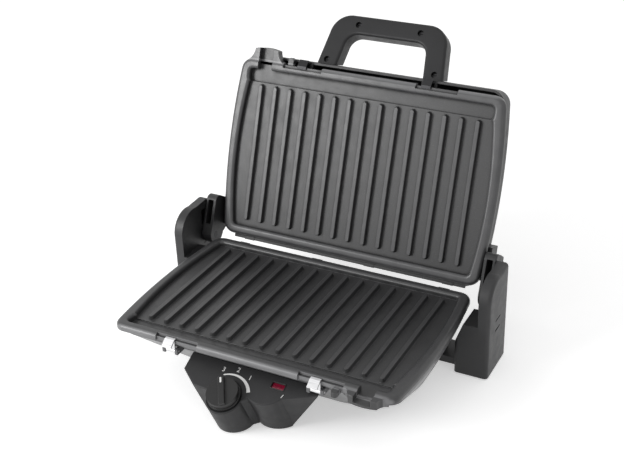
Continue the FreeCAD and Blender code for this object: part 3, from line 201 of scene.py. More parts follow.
class GrillStudio(bpy.types.PropertyGroup):
    """Floor, light and camera."""

    floor: colour_prop("Floor", "Pale floor", (0.93, 0.93, 0.93))
    glow: bpy.props.FloatProperty(
        name="Floor Glow", description="What lifts the seen floor to white", min=0.0, default=0.47
    )
    sky: bpy.props.FloatProperty(name="Sky", description="Light from all round", min=0.0, default=0.62)
    key: bpy.props.FloatProperty(
        name="Key", description="Soft lamp, front left", subtype="POWER", default=16.5
    )
    focal: bpy.props.FloatProperty(
        name="Focal Length", description="Camera lens", unit="CAMERA", default=63.43
    )


def settle(node, **inputs):
    """Set plain input values of a node."""
    for label, value in inputs.items():
        node.inputs[label.replace("_", " ")].default_value = value


def put(tree, kind, **inputs):
    """New node of a kind, with its plain input values."""
    made = tree.nodes.new(kind)
    settle(made, **inputs)
    return made


def wire(tree, source, target):
    """Join two sockets."""
    tree.links.new(source, target)


def blank_material(label):
    """Material with one shader and the surface's own coordinates."""
    made = bpy.data.materials.new(label)
    made.use_nodes = True
    tree = made.node_tree
    tree.nodes.clear()
    end = put(tree, "ShaderNodeOutputMaterial")
    shader = put(tree, "ShaderNodeBsdfPrincipled")
    wire(tree, shader.outputs["BSDF"], end.inputs["Surface"])
    place = put(tree, "ShaderNodeTexCoord").outputs["Object"]
    return made, tree, shader, place


def grain(tree, place, scale, detail=3.0, rough=0.55, stretch=None):
    """Noise of a given fineness, drawn out along an axis where stretch says so."""
    if stretch is not None:
        turn = put(tree, "ShaderNodeMapping", Scale=stretch)
        wire(tree, place, turn.inputs["Vector"])
        place = turn.outputs["Vector"]
    made = put(tree, "ShaderNodeTexNoise", Scale=scale, Detail=detail, Roughness=rough)
    wire(tree, place, made.inputs["Vector"])
    return made.outputs["Fac"]


def span(tree, source, low=0.0, high=1.0, start=0.3, stop=0.7):
    """Move a value from one range to another; noise mostly lies between 0.3 and 0.7."""
    made = put(tree, "ShaderNodeMapRange", From_Min=start, From_Max=stop, To_Min=low, To_Max=high)
    wire(tree, source, made.inputs["Value"])
    return made.outputs["Result"]


def ramp(tree, source, band):
    """Nought to one over a band, given as start and stop."""
    return span(tree, source, start=band[0], stop=band[1])


def calc(tree, operation, one, two):
    """One sum on two values, sockets or plain numbers."""
    made = put(tree, "ShaderNodeMath")
    made.operation = operation
    for index, value in enumerate((one, two)):
        if isinstance(value, (int, float)):
            made.inputs[index].default_value = value
        else:
            wire(tree, value, made.inputs[index])
    return made.outputs["Value"]


def times(tree, one, two):
    """Product of two values."""
    return calc(tree, "MULTIPLY", one, two)


def larger(tree, one, two):
    """The larger of two values."""
    return calc(tree, "MAXIMUM", one, two)


def along(tree, source, direction):
    """How far a vector goes in a direction, a socket or three numbers."""
    made = put(tree, "ShaderNodeVectorMath")
    made.operation = "DOT_PRODUCT"
    wire(tree, source, made.inputs[0])
    if isinstance(direction, bpy.types.NodeSocket):
        wire(tree, direction, made.inputs[1])
    else:
        made.inputs[1].default_value = direction
    return made.outputs["Value"]


def tint(tree, factor, one, two):
    """Colour between two colours, each a socket or three numbers."""
    made = put(tree, "ShaderNodeMix")
    made.data_type = "RGBA"
    made.clamp_factor = True
    wire(tree, factor, made.inputs[0])
    for index, value in ((6, one), (7, two)):
        if isinstance(value, bpy.types.NodeSocket):
            wire(tree, value, made.inputs[index])
        else:
            made.inputs[index].default_value = (value[0], value[1], value[2], 1.0)
    return made.outputs[2]


def shade(colour, factor):
    """Lighter or darker tone of a colour."""
    return tuple(min(channel * factor, 1.0) for channel in colour)


def mottle(tree, noise, colour, dark, light):
    """Colour that wanders between a darker and a lighter tone with a noise."""
    return tint(tree, span(tree, noise), shade(colour, dark), shade(colour, light))


def soft_edges(tree, radius):
    """Normal rounded over sharp edges, and how strongly a place lies on an edge."""
    rounded = put(tree, "ShaderNodeBevel", Radius=radius)
    rounded.samples = 6
    plain = put(tree, "ShaderNodeNewGeometry")
    match = along(tree, rounded.outputs["Normal"], plain.outputs["Normal"])
    return rounded.outputs["Normal"], ramp(tree, match, EDGE_BAND)


def emboss(tree, shader, normal, heights):
    """Chain of bumps, each (height socket, strength, depth in metres), on top of a normal."""
    for height, strength, depth in heights:
        bump = put(tree, "ShaderNodeBump", Strength=strength, Distance=depth)
        wire(tree, height, bump.inputs["Height"])
        wire(tree, normal, bump.inputs["Normal"])
        normal = bump.outputs["Normal"]
    wire(tree, normal, shader.inputs["Normal"])


def surface(tree, shader, tone, roughness):
    """Lead colour and roughness into the shader."""
    wire(tree, tone, shader.inputs["Base Color"])
    wire(tree, roughness, shader.inputs["Roughness"])


def moulded_plastic(label, colour, roughness, fineness, shine=0.5):
    """Moulded plastic: eroded grain, cloudy tone, edges drawn lighter, patchy, as worn edges with a painted
    highlight.
    """
    made, tree, shader, place = blank_material(label)
    cloud = grain(tree, place, scale=16.0, detail=4.0)
    speck = grain(tree, place, scale=fineness, detail=2.0)
    tone = mottle(tree, cloud, colour, 0.84, 1.16)
    tone = tint(tree, span(tree, speck, high=0.35), tone, shade(colour, 1.5))
    normal, edge = soft_edges(tree, radius=0.0007)
    # Lighter sharp edges in patches: worn edges and a painted edge highlight
    rubbed_and_lit_edge = times(tree, edge, span(tree, grain(tree, place, scale=90.0), 0.25, 0.6))
    tone = tint(tree, rubbed_and_lit_edge, tone, shade(colour, 2.2))
    uneven = grain(tree, place, scale=130.0, detail=4.0)
    surface(tree, shader, tone, span(tree, uneven, roughness - 0.05, roughness + 0.06))
    settle(shader, Specular_IOR_Level=shine)
    emboss(tree, shader, normal, [(speck, 0.16, 0.00025), (cloud, 0.05, 0.0006)])
    return made


def past(tree, place, direction, mesh):
    """How far a place lies past a mesh's furthest point in a direction, so mostly below nought."""
    reach = max(vert.co.dot(direction) for vert in mesh.vertices)
    return calc(tree, "SUBTRACT", along(tree, place, direction), reach)


def painted_corner_shade(tree, reach):
    """Painted shade: how dark the corners where ribs and rim meet the floor are drawn, as shade falls
    there.
    """
    corner = put(tree, "ShaderNodeAmbientOcclusion", Distance=reach)
    corner.samples = 8
    corner.only_local = True
    return ramp(tree, corner.outputs["AO"], CORNER_SHADE_BAND)


def thin_cover_and_sheen(tree, depth, ahead, forward):
    """Where the skirt is drawn lighter, for its thin coating and a painted sheen of the pale floor: the
    front skirt's face, the rim's nose above it and the skirt's ends.
    """
    face = ramp(tree, ahead, FACE_BAND)
    nose = times(tree, span(tree, ahead, 0.0, 0.8, *NOSE_BAND), ramp(tree, depth, NOSE_DEPTH))
    facing = along(tree, put(tree, "ShaderNodeTexCoord").outputs["Normal"], forward)
    ends = times(tree, ramp(tree, facing, FACING_BAND), ramp(tree, ahead, END_BAND))
    short_of_spout = ramp(tree, ahead, SPOUT_BAND)
    return times(tree, larger(tree, larger(tree, face, nose), ends), short_of_spout)


def coated_casting(label, colour, thin, upright, forward, lip, painted_light, mesh):
    """Non-stick coating on a cast plate: flecks, orange peel, painted highlight on rib crests and edges,
    painted shade in corners, lighter front skirt with a painted sheen.
    """
    made, tree, shader, place = blank_material(label)
    depth = past(tree, place, upright, mesh)
    ahead = calc(tree, "ADD", past(tree, place, forward, mesh), lip)
    cloud = grain(tree, place, scale=11.0, detail=4.0)
    fleck = grain(tree, place, scale=1500.0, detail=1.0)
    peel = grain(tree, place, scale=520.0, detail=2.0)
    tone = mottle(tree, cloud, colour, 0.82, 1.2)
    tone = tint(tree, span(tree, fleck, 0.0, 0.5, 0.58, 0.75), tone, shade(colour, 3.2))
    normal, edge = soft_edges(tree, radius=0.0008)
    # Painted highlight: rib crests drawn lighter in patches, sharp edges at half strength; these places are
    # also made smoother
    crest_highlight_strength = span(tree, grain(tree, place, scale=60.0, detail=5.0), 0.45 * painted_light, 0.9 * painted_light)
    crest_and_edge_highlight = times(tree, ramp(tree, depth, CREST_BAND), crest_highlight_strength)
    crest_and_edge_highlight = larger(tree, crest_and_edge_highlight, times(tree, edge, 0.5))
    tone = tint(tree, crest_and_edge_highlight, tone, shade(colour, 3.4))
    # Painted shade: closed corners at the foot of ribs and rim drawn darker, and rougher, where shade falls
    corner_shade = times(tree, painted_corner_shade(tree, CORNER_SHADE_REACH), painted_light)
    tone = tint(tree, corner_shade, tone, shade(colour, 0.08))
    patch = span(tree, grain(tree, place, scale=45.0, detail=5.0), 0.82, 1.1)
    # Lighter front skirt: thin coating there, and a painted sheen of the pale floor
    tone = tint(tree, times(tree, thin_cover_and_sheen(tree, depth, ahead, forward), patch), tone, thin)
    rough = span(tree, grain(tree, place, scale=85.0, detail=4.0), 0.34, 0.44)
    rough = calc(tree, "SUBTRACT", rough, times(tree, crest_and_edge_highlight, 0.1))
    rough = calc(tree, "ADD", rough, times(tree, corner_shade, 0.4))
    surface(tree, shader, tone, rough)
    settle(shader, Specular_IOR_Level=0.6)
    emboss(tree, shader, normal, [(peel, 0.12, 0.0003), (fleck, 0.08, 0.00015)])
    return made


def painted_sheet(label, colour):
    """Stoved paint on pressed sheet: orange peel, slight streaks, edges drawn lighter for thin paint there
    and a painted highlight.
    """
    made, tree, shader, place = blank_material(label)
    streak = grain(tree, place, scale=30.0, detail=4.0, rough=0.6, stretch=(1.0, 1.0, 5.0))
    peel = grain(tree, place, scale=420.0, detail=2.0)
    normal, edge = soft_edges(tree, radius=0.0006)
    tone = mottle(tree, streak, colour, 0.88, 1.14)
    # Lighter edges: thin paint there and a painted edge highlight
    tone = tint(tree, times(tree, edge, 0.5), tone, shade(colour, 2.0))
    uneven = grain(tree, place, scale=140.0, detail=4.0)
    surface(tree, shader, tone, span(tree, uneven, 0.28, 0.38))
    settle(shader, Coat_Weight=0.15, Coat_Roughness=0.25)
    emboss(tree, shader, normal, [(peel, 0.1, 0.0003)])
    return made


def bare_metal(label, colour, roughness, stretch, marks):
    """Bare metal with drawn or brushed lines, faint stains and edges drawn brighter, polished and with a
    painted highlight.
    """
    made, tree, shader, place = blank_material(label)
    lines = grain(tree, place, scale=900.0, detail=3.0, rough=0.6, stretch=stretch)
    stain = grain(tree, place, scale=38.0, detail=5.0)
    tone = mottle(tree, lines, colour, 0.86, 1.08)
    tone = tint(tree, span(tree, stain, 0.0, marks, 0.45, 0.75), tone, shade(colour, 0.55))
    normal, edge = soft_edges(tree, radius=0.0003)
    # Brighter edges: polished, and a painted edge highlight
    tone = tint(tree, times(tree, edge, 0.6), tone, shade(colour, 1.25))
    surface(tree, shader, tone, span(tree, lines, roughness - 0.06, roughness + 0.08))
    settle(shader, Metallic=1.0)
    emboss(tree, shader, normal, [(lines, 0.1, 0.0001)])
    return made


def heated_sheath(label):
    """Heater sheath darkened by heat, with straw and blue bands."""
    made, tree, shader, place = blank_material(label)
    band = grain(tree, place, scale=26.0, detail=4.0)
    pit = grain(tree, place, scale=700.0)
    tone = tint(tree, span(tree, band), SHEATH_STRAW, SHEATH_BLUE)
    tone = tint(tree, span(tree, pit, high=0.4), tone, SHEATH_PIT)
    surface(tree, shader, tone, span(tree, pit, 0.42, 0.6))
    settle(shader, Metallic=0.8)
    normal, _ = soft_edges(tree, radius=0.0003)
    emboss(tree, shader, normal, [(pit, 0.2, 0.0002)])
    return made


def fired_clay(label):
    """Unglazed pale ceramic with fine pores."""
    made, tree, shader, place = blank_material(label)
    pore = grain(tree, place, scale=900.0, detail=4.0)
    cloud = grain(tree, place, scale=60.0)
    tone = tint(tree, span(tree, cloud), CLAY_DARK, CLAY_PALE)
    tone = tint(tree, span(tree, pore, 0.0, 0.4, 0.6, 0.75), tone, CLAY_PORE)
    surface(tree, shader, tone, span(tree, pore, 0.7, 0.86))
    normal, _ = soft_edges(tree, radius=0.0005)
    emboss(tree, shader, normal, [(pore, 0.3, 0.0002)])
    return made


def matt_rubber(label):
    """Black rubber with bloom and a dry, fine skin."""
    made, tree, shader, place = blank_material(label)
    bloom = grain(tree, place, scale=120.0, detail=5.0)
    skin = grain(tree, place, scale=1300.0, detail=2.0)
    tone = tint(tree, span(tree, bloom), RUBBER_BLACK, RUBBER_BLOOM)
    surface(tree, shader, tone, span(tree, skin, 0.72, 0.88))
    normal, _ = soft_edges(tree, radius=0.0006)
    emboss(tree, shader, normal, [(skin, 0.2, 0.0002)])
    return made


def red_lens(label, colour):
    """Red plastic with a fluted back; the light the flutes break up is painted as darker and lighter
    stripes in the red.
    """
    made, tree, shader, place = blank_material(label)
    wave = put(tree, "ShaderNodeTexWave", Scale=420.0, Distortion=0.0)
    wave.bands_direction = "X"
    wire(tree, place, wave.inputs["Vector"])
    flute = wave.outputs["Fac"]
    cloud = grain(tree, place, scale=260.0)
    # Painted light and shade: stripes along the flutes drawn darker and lighter
    tone = tint(tree, flute, shade(colour, 0.45), shade(colour, 1.25))
    tone = tint(tree, span(tree, cloud, high=0.6), tone, shade(colour, 0.4))
    surface(tree, shader, tone, span(tree, cloud, 0.1, 0.2))
    settle(shader, Coat_Weight=0.5, Coat_Roughness=0.06)
    normal, _ = soft_edges(tree, radius=0.0005)
    emboss(tree, shader, normal, [(flute, 0.2, 0.0002)])
    return made


def glow_lamp(label):
    """Thin glass of the small lamp, tinted and slightly wavy."""
    made, tree, shader, place = blank_material(label)
    wave = grain(tree, place, scale=200.0, detail=2.0)
    tone = tint(tree, span(tree, wave), GLASS_DEEP, GLASS_PALE)
    surface(tree, shader, tone, span(tree, wave, 0.04, 0.1))
    settle(shader, Transmission_Weight=0.7)
    normal, _ = soft_edges(tree, radius=0.0004)
    emboss(tree, shader, normal, [(wave, 0.06, 0.0003)])
    return made


def printed_ink(label, colour):
    """White print with a slightly uneven cover."""
    made, tree, shader, place = blank_material(label)
    cover = grain(tree, place, scale=1600.0)
    surface(tree, shader, mottle(tree, cover, colour, 0.86, 1.0), span(tree, cover, 0.42, 0.58))
    return made


def dress(nodes, material):
    """Give one finish to CAD nodes."""
    for label in nodes:
        slots = NODES[label].data.materials
        slots.clear()
        slots.append(material)


def smooth_tree():
    """Node tree that joins loose facets and shades them smoothly up to an angle."""
    found = bpy.data.node_groups.get("Smooth Facets")
    if found is not None:
        return found
    tree = bpy.data.node_groups.new("Smooth Facets", "GeometryNodeTree")
    tree.interface.new_socket("Geometry", in_out="INPUT", socket_type="NodeSocketGeometry")
    limit = tree.interface.new_socket("Angle", in_out="INPUT", socket_type="NodeSocketFloat")
    limit.default_value = SMOOTH_ANGLE
    tree.interface.new_socket("Geometry", in_out="OUTPUT", socket_type="NodeSocketGeometry")
    start = put(tree, "NodeGroupInput")
    end = put(tree, "NodeGroupOutput")
    joined = put(tree, "GeometryNodeMergeByDistance", Distance=FACET_WELD)
    plain = put(tree, "GeometryNodeRemoveAttribute", Name="custom_normal")
    angle = put(tree, "GeometryNodeInputMeshEdgeAngle")
    sharp = put(tree, "FunctionNodeCompare")
    sharp.operation = "GREATER_THAN"
    faces = put(tree, "GeometryNodeSetShadeSmooth")
    faces.domain = "FACE"
    edges = put(tree, "GeometryNodeSetShadeSmooth", Shade_Smooth=False)
    edges.domain = "EDGE"
    wire(tree, start.outputs["Geometry"], plain.inputs["Geometry"])
    wire(tree, plain.outputs["Geometry"], joined.inputs["Geometry"])
    wire(tree, joined.outputs["Geometry"], faces.inputs["Geometry"])
    wire(tree, faces.outputs["Geometry"], edges.inputs["Geometry"])
    wire(tree, angle.outputs["Unsigned Angle"], sharp.inputs[0])
    wire(tree, start.outputs["Angle"], sharp.inputs[1])
    wire(tree, sharp.outputs["Result"], edges.inputs["Selection"])
    wire(tree, edges.outputs["Geometry"], end.inputs["Geometry"])
    return tree


def smooth(nodes):
    """Even out the shading of CAD facets."""
    for label in nodes:
        made = NODES[label].modifiers.new("Smooth Facets", "NODES")
        made.node_group = smooth_tree()


def socket_id(tree, label):
    """Identifier of a tree's named input."""
    for item in tree.interface.items_tree:
        if item.item_type == "SOCKET" and item.in_out == "INPUT" and item.name == label:
            return item.identifier
    raise KeyError(label)


def add_piece(label, mesh, material, body):
    """Link a finished mesh as a piece that rides on a body."""
    mesh.materials.clear()
    mesh.materials.append(material)
    made = bpy.data.objects.new(label, mesh)
    bpy.context.scene.collection.objects.link(made)
    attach(made, body)
    return made


def carried_mesh(carrier):
    """Mesh that a carrier object evaluates to; the carrier goes."""
    bpy.context.view_layer.update()
    graph = bpy.context.evaluated_depsgraph_get()
    mesh = bpy.data.meshes.new_from_object(carrier.evaluated_get(graph))
    bpy.data.objects.remove(carrier)
    return mesh


def bake_tree(label, tree, values):
    """Mesh that a node tree makes with the given input values."""
    carrier = bpy.data.objects.new(label + "_carrier", bpy.data.meshes.new(label + "_carrier"))
    bpy.context.scene.collection.objects.link(carrier)
    made = carrier.modifiers.new(label, "NODES")
    made.node_group = tree
    for name, value in values.items():
        made[socket_id(tree, name)] = value
    mesh = carried_mesh(carrier)
    mesh.name = label
    if not mesh.polygons:
        raise RuntimeError("no faces in " + label)
    return mesh


def band_tree():
    """Tapering band along an arc, closed all round."""
    tree = bpy.data.node_groups.new("Heat Band", "GeometryNodeTree")
    for label in ("Radius", "Start", "Sweep", "Thin End", "Wide End", "Height"):
        tree.interface.new_socket(label, in_out="INPUT", socket_type="NodeSocketFloat")
    tree.interface.new_socket("Ink", in_out="INPUT", socket_type="NodeSocketMaterial")
    tree.interface.new_socket("Geometry", in_out="OUTPUT", socket_type="NodeSocketGeometry")
    start = put(tree, "NodeGroupInput")
    end = put(tree, "NodeGroupOutput")
    strip = put(tree, "GeometryNodeMeshGrid", Size_X=1.0, Size_Y=1.0, Vertices_X=72, Vertices_Y=3)
    spot = put(tree, "GeometryNodeInputPosition")
    parts = put(tree, "ShaderNodeSeparateXYZ")
    wire(tree, spot.outputs["Position"], parts.inputs["Vector"])
    way = calc(tree, "ADD", parts.outputs["X"], 0.5)
    turn = calc(tree, "ADD", start.outputs["Start"], times(tree, way, start.outputs["Sweep"]))
    grow = calc(tree, "SUBTRACT", start.outputs["Wide End"], start.outputs["Thin End"])
    wide = calc(tree, "ADD", start.outputs["Thin End"], times(tree, way, grow))
    reach = calc(tree, "ADD", start.outputs["Radius"], times(tree, parts.outputs["Y"], wide))
    join = put(tree, "ShaderNodeCombineXYZ")
    wire(tree, times(tree, reach, calc(tree, "COSINE", turn, 0.0)), join.inputs["X"])
    wire(tree, times(tree, reach, calc(tree, "SINE", turn, 0.0)), join.inputs["Y"])
    bent = put(tree, "GeometryNodeSetPosition")
    wire(tree, strip.outputs["Mesh"], bent.inputs["Geometry"])
    wire(tree, join.outputs["Vector"], bent.inputs["Position"])
    lift = put(tree, "ShaderNodeCombineXYZ")
    wire(tree, start.outputs["Height"], lift.inputs["Z"])
    raised = put(tree, "GeometryNodeExtrudeMesh", Offset_Scale=1.0, Individual=False)
    wire(tree, bent.outputs["Geometry"], raised.inputs["Mesh"])
    wire(tree, lift.outputs["Vector"], raised.inputs["Offset"])
    under = put(tree, "GeometryNodeFlipFaces")
    wire(tree, bent.outputs["Geometry"], under.inputs["Mesh"])
    both = put(tree, "GeometryNodeJoinGeometry")
    wire(tree, raised.outputs["Mesh"], both.inputs["Geometry"])
    wire(tree, under.outputs["Mesh"], both.inputs["Geometry"])
    closed = put(tree, "GeometryNodeMergeByDistance", Distance=BAND_WELD)
    wire(tree, both.outputs["Geometry"], closed.inputs["Geometry"])
    real = put(tree, "GeometryNodeRealizeInstances")
    wire(tree, closed.outputs["Geometry"], real.inputs["Geometry"])
    inked = put(tree, "GeometryNodeSetMaterial")
    wire(tree, real.outputs["Geometry"], inked.inputs["Geometry"])
    wire(tree, start.outputs["Ink"], inked.inputs["Material"])
    wire(tree, inked.outputs["Geometry"], end.inputs["Geometry"])
    return tree


def outward(mesh):
    """Merge doubles and turn every face outwards."""
    work = bmesh.new()
    work.from_mesh(mesh)
    bmesh.ops.remove_doubles(work, verts=work.verts, dist=PRINT_WELD)
    bmesh.ops.recalc_face_normals(work, faces=work.faces)
    work.to_mesh(mesh)
    work.free()


def text_mesh(words, height, thick):
    """Flat figure turned into a thin closed mesh, centred on its own middle."""
    curve = bpy.data.curves.new("figure_" + words, "FONT")
    curve.body = words
    curve.size = height * FONT_SCALE
    curve.extrude = thick / 2
    curve.align_x = "CENTER"
    curve.align_y = "CENTER"
    carrier = bpy.data.objects.new("figure_" + words, curve)
    bpy.context.scene.collection.objects.link(carrier)
    return carried_mesh(carrier)


def rounded_outline(half_wide, half_long, corner):
    """Points round a rectangle with round corners."""
    points = []
    for side, end, first in CORNERS:
        for step in range(CORNER_STEPS + 1):
            angle = math.radians(first + 90.0 * step / CORNER_STEPS)
            points.append((
                side * (half_wide - corner) + corner * math.cos(angle),
                end * (half_long - corner) + corner * math.sin(angle),
            ))
    return points


def closed_mesh(label, work):
    """Mesh of finished work with its faces turned outwards."""
    bmesh.ops.recalc_face_normals(work, faces=work.faces)
    mesh = bpy.data.meshes.new(label)
    work.to_mesh(mesh)
    work.free()
    return mesh


def rounded_bar(width, length, thick, corner):
    """Flat bar with round corners and a small top chamfer, lying on its ground."""
    work = bmesh.new()
    ring = rounded_outline(width / 2, length / 2, corner)
    face = work.faces.new([work.verts.new((x, y, 0.0)) for x, y in ring])
    grown = bmesh.ops.extrude_face_region(work, geom=[face])
    top = [item for item in grown["geom"] if isinstance(item, bmesh.types.BMVert)]
    for vert in top:
        vert.co.z += thick
        vert.co.x *= 1.0 - thick / width
        vert.co.y *= 1.0 - thick / length
    return closed_mesh("bar", work)


def frame_ring(width, length, border, thick, corner):
    """Flat frame with round corners, sloping inner and outer edges."""
    work = bmesh.new()
    rings = []
    for grow, level in FRAME_SECTION:
        edge = border * (1.0 + grow)
        outline = rounded_outline(width / 2 + edge, length / 2 + edge, corner + edge)
        rings.append([work.verts.new((x, y, level * thick)) for x, y in outline])
    count = len(rings[0])
    for one, two in zip(rings, rings[1:] + rings[:1]):
        for index in range(count):
            after = (index + 1) % count
            work.faces.new((one[index], one[after], two[after], two[index]))
    return closed_mesh("ring", work)


def merged(label, meshes):
    """Join several meshes into one."""
    work = bmesh.new()
    for mesh in meshes:
        work.from_mesh(mesh)
        bpy.data.meshes.remove(mesh)
    made = bpy.data.meshes.new(label)
    work.to_mesh(made)
    work.free()
    return made


def on_panel(across, rise, level=PRINT_GAP, turn=0.0):
    """Place on the sloping panel, measured from the knob's middle."""
    return PANEL @ Matrix.Translation((across, rise, level)) @ Matrix.Rotation(turn, 4, "Z")


def seen_rays(tree):
    """One for rays that come from the camera or by way of gloss or glass, else nought."""
    rays = put(tree, "ShaderNodeLightPath")
    seen = larger(tree, rays.outputs["Is Camera Ray"], rays.outputs["Is Glossy Ray"])
    return larger(tree, seen, rays.outputs["Is Transmission Ray"])


def make_floor(colour, glow):
    """Wide pale floor that keeps the object's shadow and is seen as white."""
    work = bmesh.new()
    bmesh.ops.create_grid(work, x_segments=4, y_segments=4, size=FLOOR_HALF)
    mesh = bpy.data.meshes.new("studio_floor")
    work.to_mesh(mesh)
    work.free()
    made, tree, shader, place = blank_material("floor_paper")
    fibre = grain(tree, place, scale=7.0, detail=2.0)
    wire(tree, mottle(tree, fibre, colour, 0.995, 1.0), shader.inputs["Base Color"])
    settle(shader, Roughness=0.75, Specular_IOR_Level=0.0, Emission_Color=WHITE)
    wire(tree, times(tree, seen_rays(tree), glow), shader.inputs["Emission Strength"])
    mesh.materials.append(made)
    floor = bpy.data.objects.new("studio_floor", mesh)
    bpy.context.scene.collection.objects.link(floor)


def make_world(strength):
    """White all round for camera, gloss and glass, weaker and mostly from overhead as plain light."""
    world = bpy.data.worlds.new("studio_sky")
    bpy.context.scene.world = world
    world.use_nodes = True
    tree = world.node_tree
    tree.nodes.clear()
    end = put(tree, "ShaderNodeOutputWorld")
    shine = put(tree, "ShaderNodeBackground", Color=WHITE, Strength=1.0)
    light = put(tree, "ShaderNodeBackground", Color=WHITE)
    way = put(tree, "ShaderNodeSeparateXYZ")
    wire(tree, put(tree, "ShaderNodeTexCoord").outputs["Generated"], way.inputs["Vector"])
    fall = span(tree, way.outputs["Z"], strength * SKY_LOW, strength * SKY_HIGH, 0.0, 1.0)
    wire(tree, fall, light.inputs["Strength"])
    pick = put(tree, "ShaderNodeMixShader")
    wire(tree, seen_rays(tree), pick.inputs[0])
    wire(tree, light.outputs["Background"], pick.inputs[1])
    wire(tree, shine.outputs["Background"], pick.inputs[2])
    wire(tree, pick.outputs["Shader"], end.inputs["Surface"])


def make_lamp(label, spot, target, size, power):
    """Square soft lamp turned towards a point."""
    data = bpy.data.lights.new(label + "_lamp", "AREA")
    data.size = size
    data.energy = power
    made = bpy.data.objects.new(label + "_lamp", data)
    made.location = spot
    made.rotation_euler = (target - spot).to_track_quat("-Z", "Y").to_euler()
    bpy.context.scene.collection.objects.link(made)


def make_camera(focal):
    """Camera at the photograph's angle, for a frame of 624 by 460."""
    data = bpy.data.cameras.new("view_camera")
    data.sensor_width = SENSOR_WIDTH
    data.lens = focal
    data.shift_x, data.shift_y = CAMERA_SHIFT
    made = bpy.data.objects.new("view_camera", data)
    level = math.cos(CAMERA_TILT)
    back = Vector((
        math.sin(CAMERA_TURN) * level,
        -math.cos(CAMERA_TURN) * level,
        math.sin(CAMERA_TILT),
    ))
    right = Vector((math.cos(CAMERA_TURN), math.sin(CAMERA_TURN), 0.0))
    right = right * math.cos(CAMERA_ROLL) + back.cross(right) * math.sin(CAMERA_ROLL)
    rise = back.cross(right)
    made.matrix_world = Matrix((
        (right.x, rise.x, back.x, CAMERA_SPOT.x),
        (right.y, rise.y, back.y, CAMERA_SPOT.y),
        (right.z, rise.z, back.z, CAMERA_SPOT.z),
        (0.0, 0.0, 0.0, 1.0),
    ))
    bpy.context.scene.collection.objects.link(made)
    bpy.context.scene.camera = made


class GRILL_OT_plates(bpy.types.Operator):
    """Coat both ribbed plates"""

    bl_idname = "grill.plates"
    bl_label = "Coat Plates"

    def execute(self, context):
        finish = context.scene.grill_finish
        lid_up = Vector((0.0, -math.cos(LEAN), math.sin(LEAN)))
        lid_forward = Vector((0.0, math.sin(LEAN), math.cos(LEAN)))
        plates = {
            "lower_grill_plate": (Vector((0.0, 0.0, 1.0)), Vector((0.0, -1.0, 0.0)), LOWER_LIP, LOWER_PAINTED_LIGHT),
            "upper_grill_plate": (lid_up, lid_forward, UPPER_LIP, UPPER_PAINTED_LIGHT),
        }
        for label, facts in plates.items():
            mesh = NODES[label].data
            dress([label], coated_casting(label + "_coating", finish.coating, finish.casting, *facts, mesh))
        smooth(plates)
        return {"FINISHED"}


class GRILL_OT_casings(bpy.types.Operator):
    """Finish towers, pod, lid, arms, handle, knob and pan"""

    bl_idname = "grill.casings"
    bl_label = "Finish Casings"

    def execute(self, context):
        finish = context.scene.grill_finish
        casing = moulded_plastic("casing_plastic", finish.casing, roughness=0.46, fineness=1300.0)
        pod = moulded_plastic("pod_plastic", finish.casing, roughness=0.5, fineness=1500.0, shine=0.32)
        grip = moulded_plastic("handle_plastic", finish.handle, roughness=0.44, fineness=1400.0, shine=0.36)
        knob = moulded_plastic("knob_plastic", finish.knob, roughness=0.38, fineness=1700.0, shine=0.4)
        groups = {
            ("tower_left", "tower_right", "hinge_arm_left", "hinge_arm_right", "hinge_slider_left",
             "hinge_slider_right", "lid_shell"): casing,
            ("control_pod", "pod_cover"): pod,
            ("handle_front", "handle_back"): grip,
            ("control_knob",): knob,
            ("base_pan",): painted_sheet("pan_paint", finish.pan),
        }
        for nodes, material in groups.items():
            dress(nodes, material)
            smooth(nodes)
        return {"FINISHED"}


class GRILL_OT_metal(bpy.types.Operator):
    """Finish clips, pins, screws and shaft in bright, blacked or plated steel"""

    bl_idname = "grill.metal"
    bl_label = "Finish Metal"

    def execute(self, context):
        finish = context.scene.grill_finish
        clips = ["clip_left", "clip_right", "clip_pin_left", "clip_pin_right"]
        bright = ["lower_" + clip for clip in clips]
        blacked = ["upper_" + clip for clip in clips]
        blacked += ["hinge_pin_left", "hinge_pin_right", "arm_screws", "handle_screws"]
        plated = ["tower_screws", "thermostat_shaft"]
        dress(bright, bare_metal(
            "clip_steel", finish.steel, roughness=0.34, stretch=(0.06, 1.0, 1.0), marks=0.15
        ))
        dress(blacked, bare_metal(
            "blacked_steel", finish.blacked, roughness=0.42, stretch=(0.3, 1.0, 1.0), marks=0.4
        ))
        dress(plated, bare_metal(
            "plated_steel", shade(finish.steel, 0.7), roughness=0.36, stretch=(1.0, 1.0, 0.3), marks=0.3
        ))
        smooth(bright + blacked + plated)
        return {"FINISHED"}


class GRILL_OT_heating(bpy.types.Operator):
    """Finish heaters, trays, saddles and thermostat"""

    bl_idname = "grill.heating"
    bl_label = "Finish Heating Parts"

    def execute(self, context):
        finishes = {
            "_heater": heated_sheath("heater_sheath"),
            "_reflector": bare_metal(
                "reflector_sheet", BRIGHT_SHEET, roughness=0.2, stretch=(0.1, 1.0, 1.0), marks=0.3
            ),
            "_heater_saddles": fired_clay("saddle_ceramic"),
        }
        for kind, material in finishes.items():
            nodes = ["lower" + kind, "upper" + kind]
            dress(nodes, material)
            smooth(nodes)
        case = moulded_plastic("thermostat_plastic", CASE_RESIN, roughness=0.5, fineness=1200.0)
        dress(["thermostat_case"], case)
        return {"FINISHED"}


class GRILL_OT_rubber(bpy.types.Operator):
    """Finish feet and inlet bush in rubber"""

    bl_idname = "grill.rubber"
    bl_label = "Finish Rubber"

    def execute(self, context):
        nodes = ("rubber_feet", "inlet_gland")
        dress(nodes, matt_rubber("black_rubber"))
        smooth(nodes)
        return {"FINISHED"}


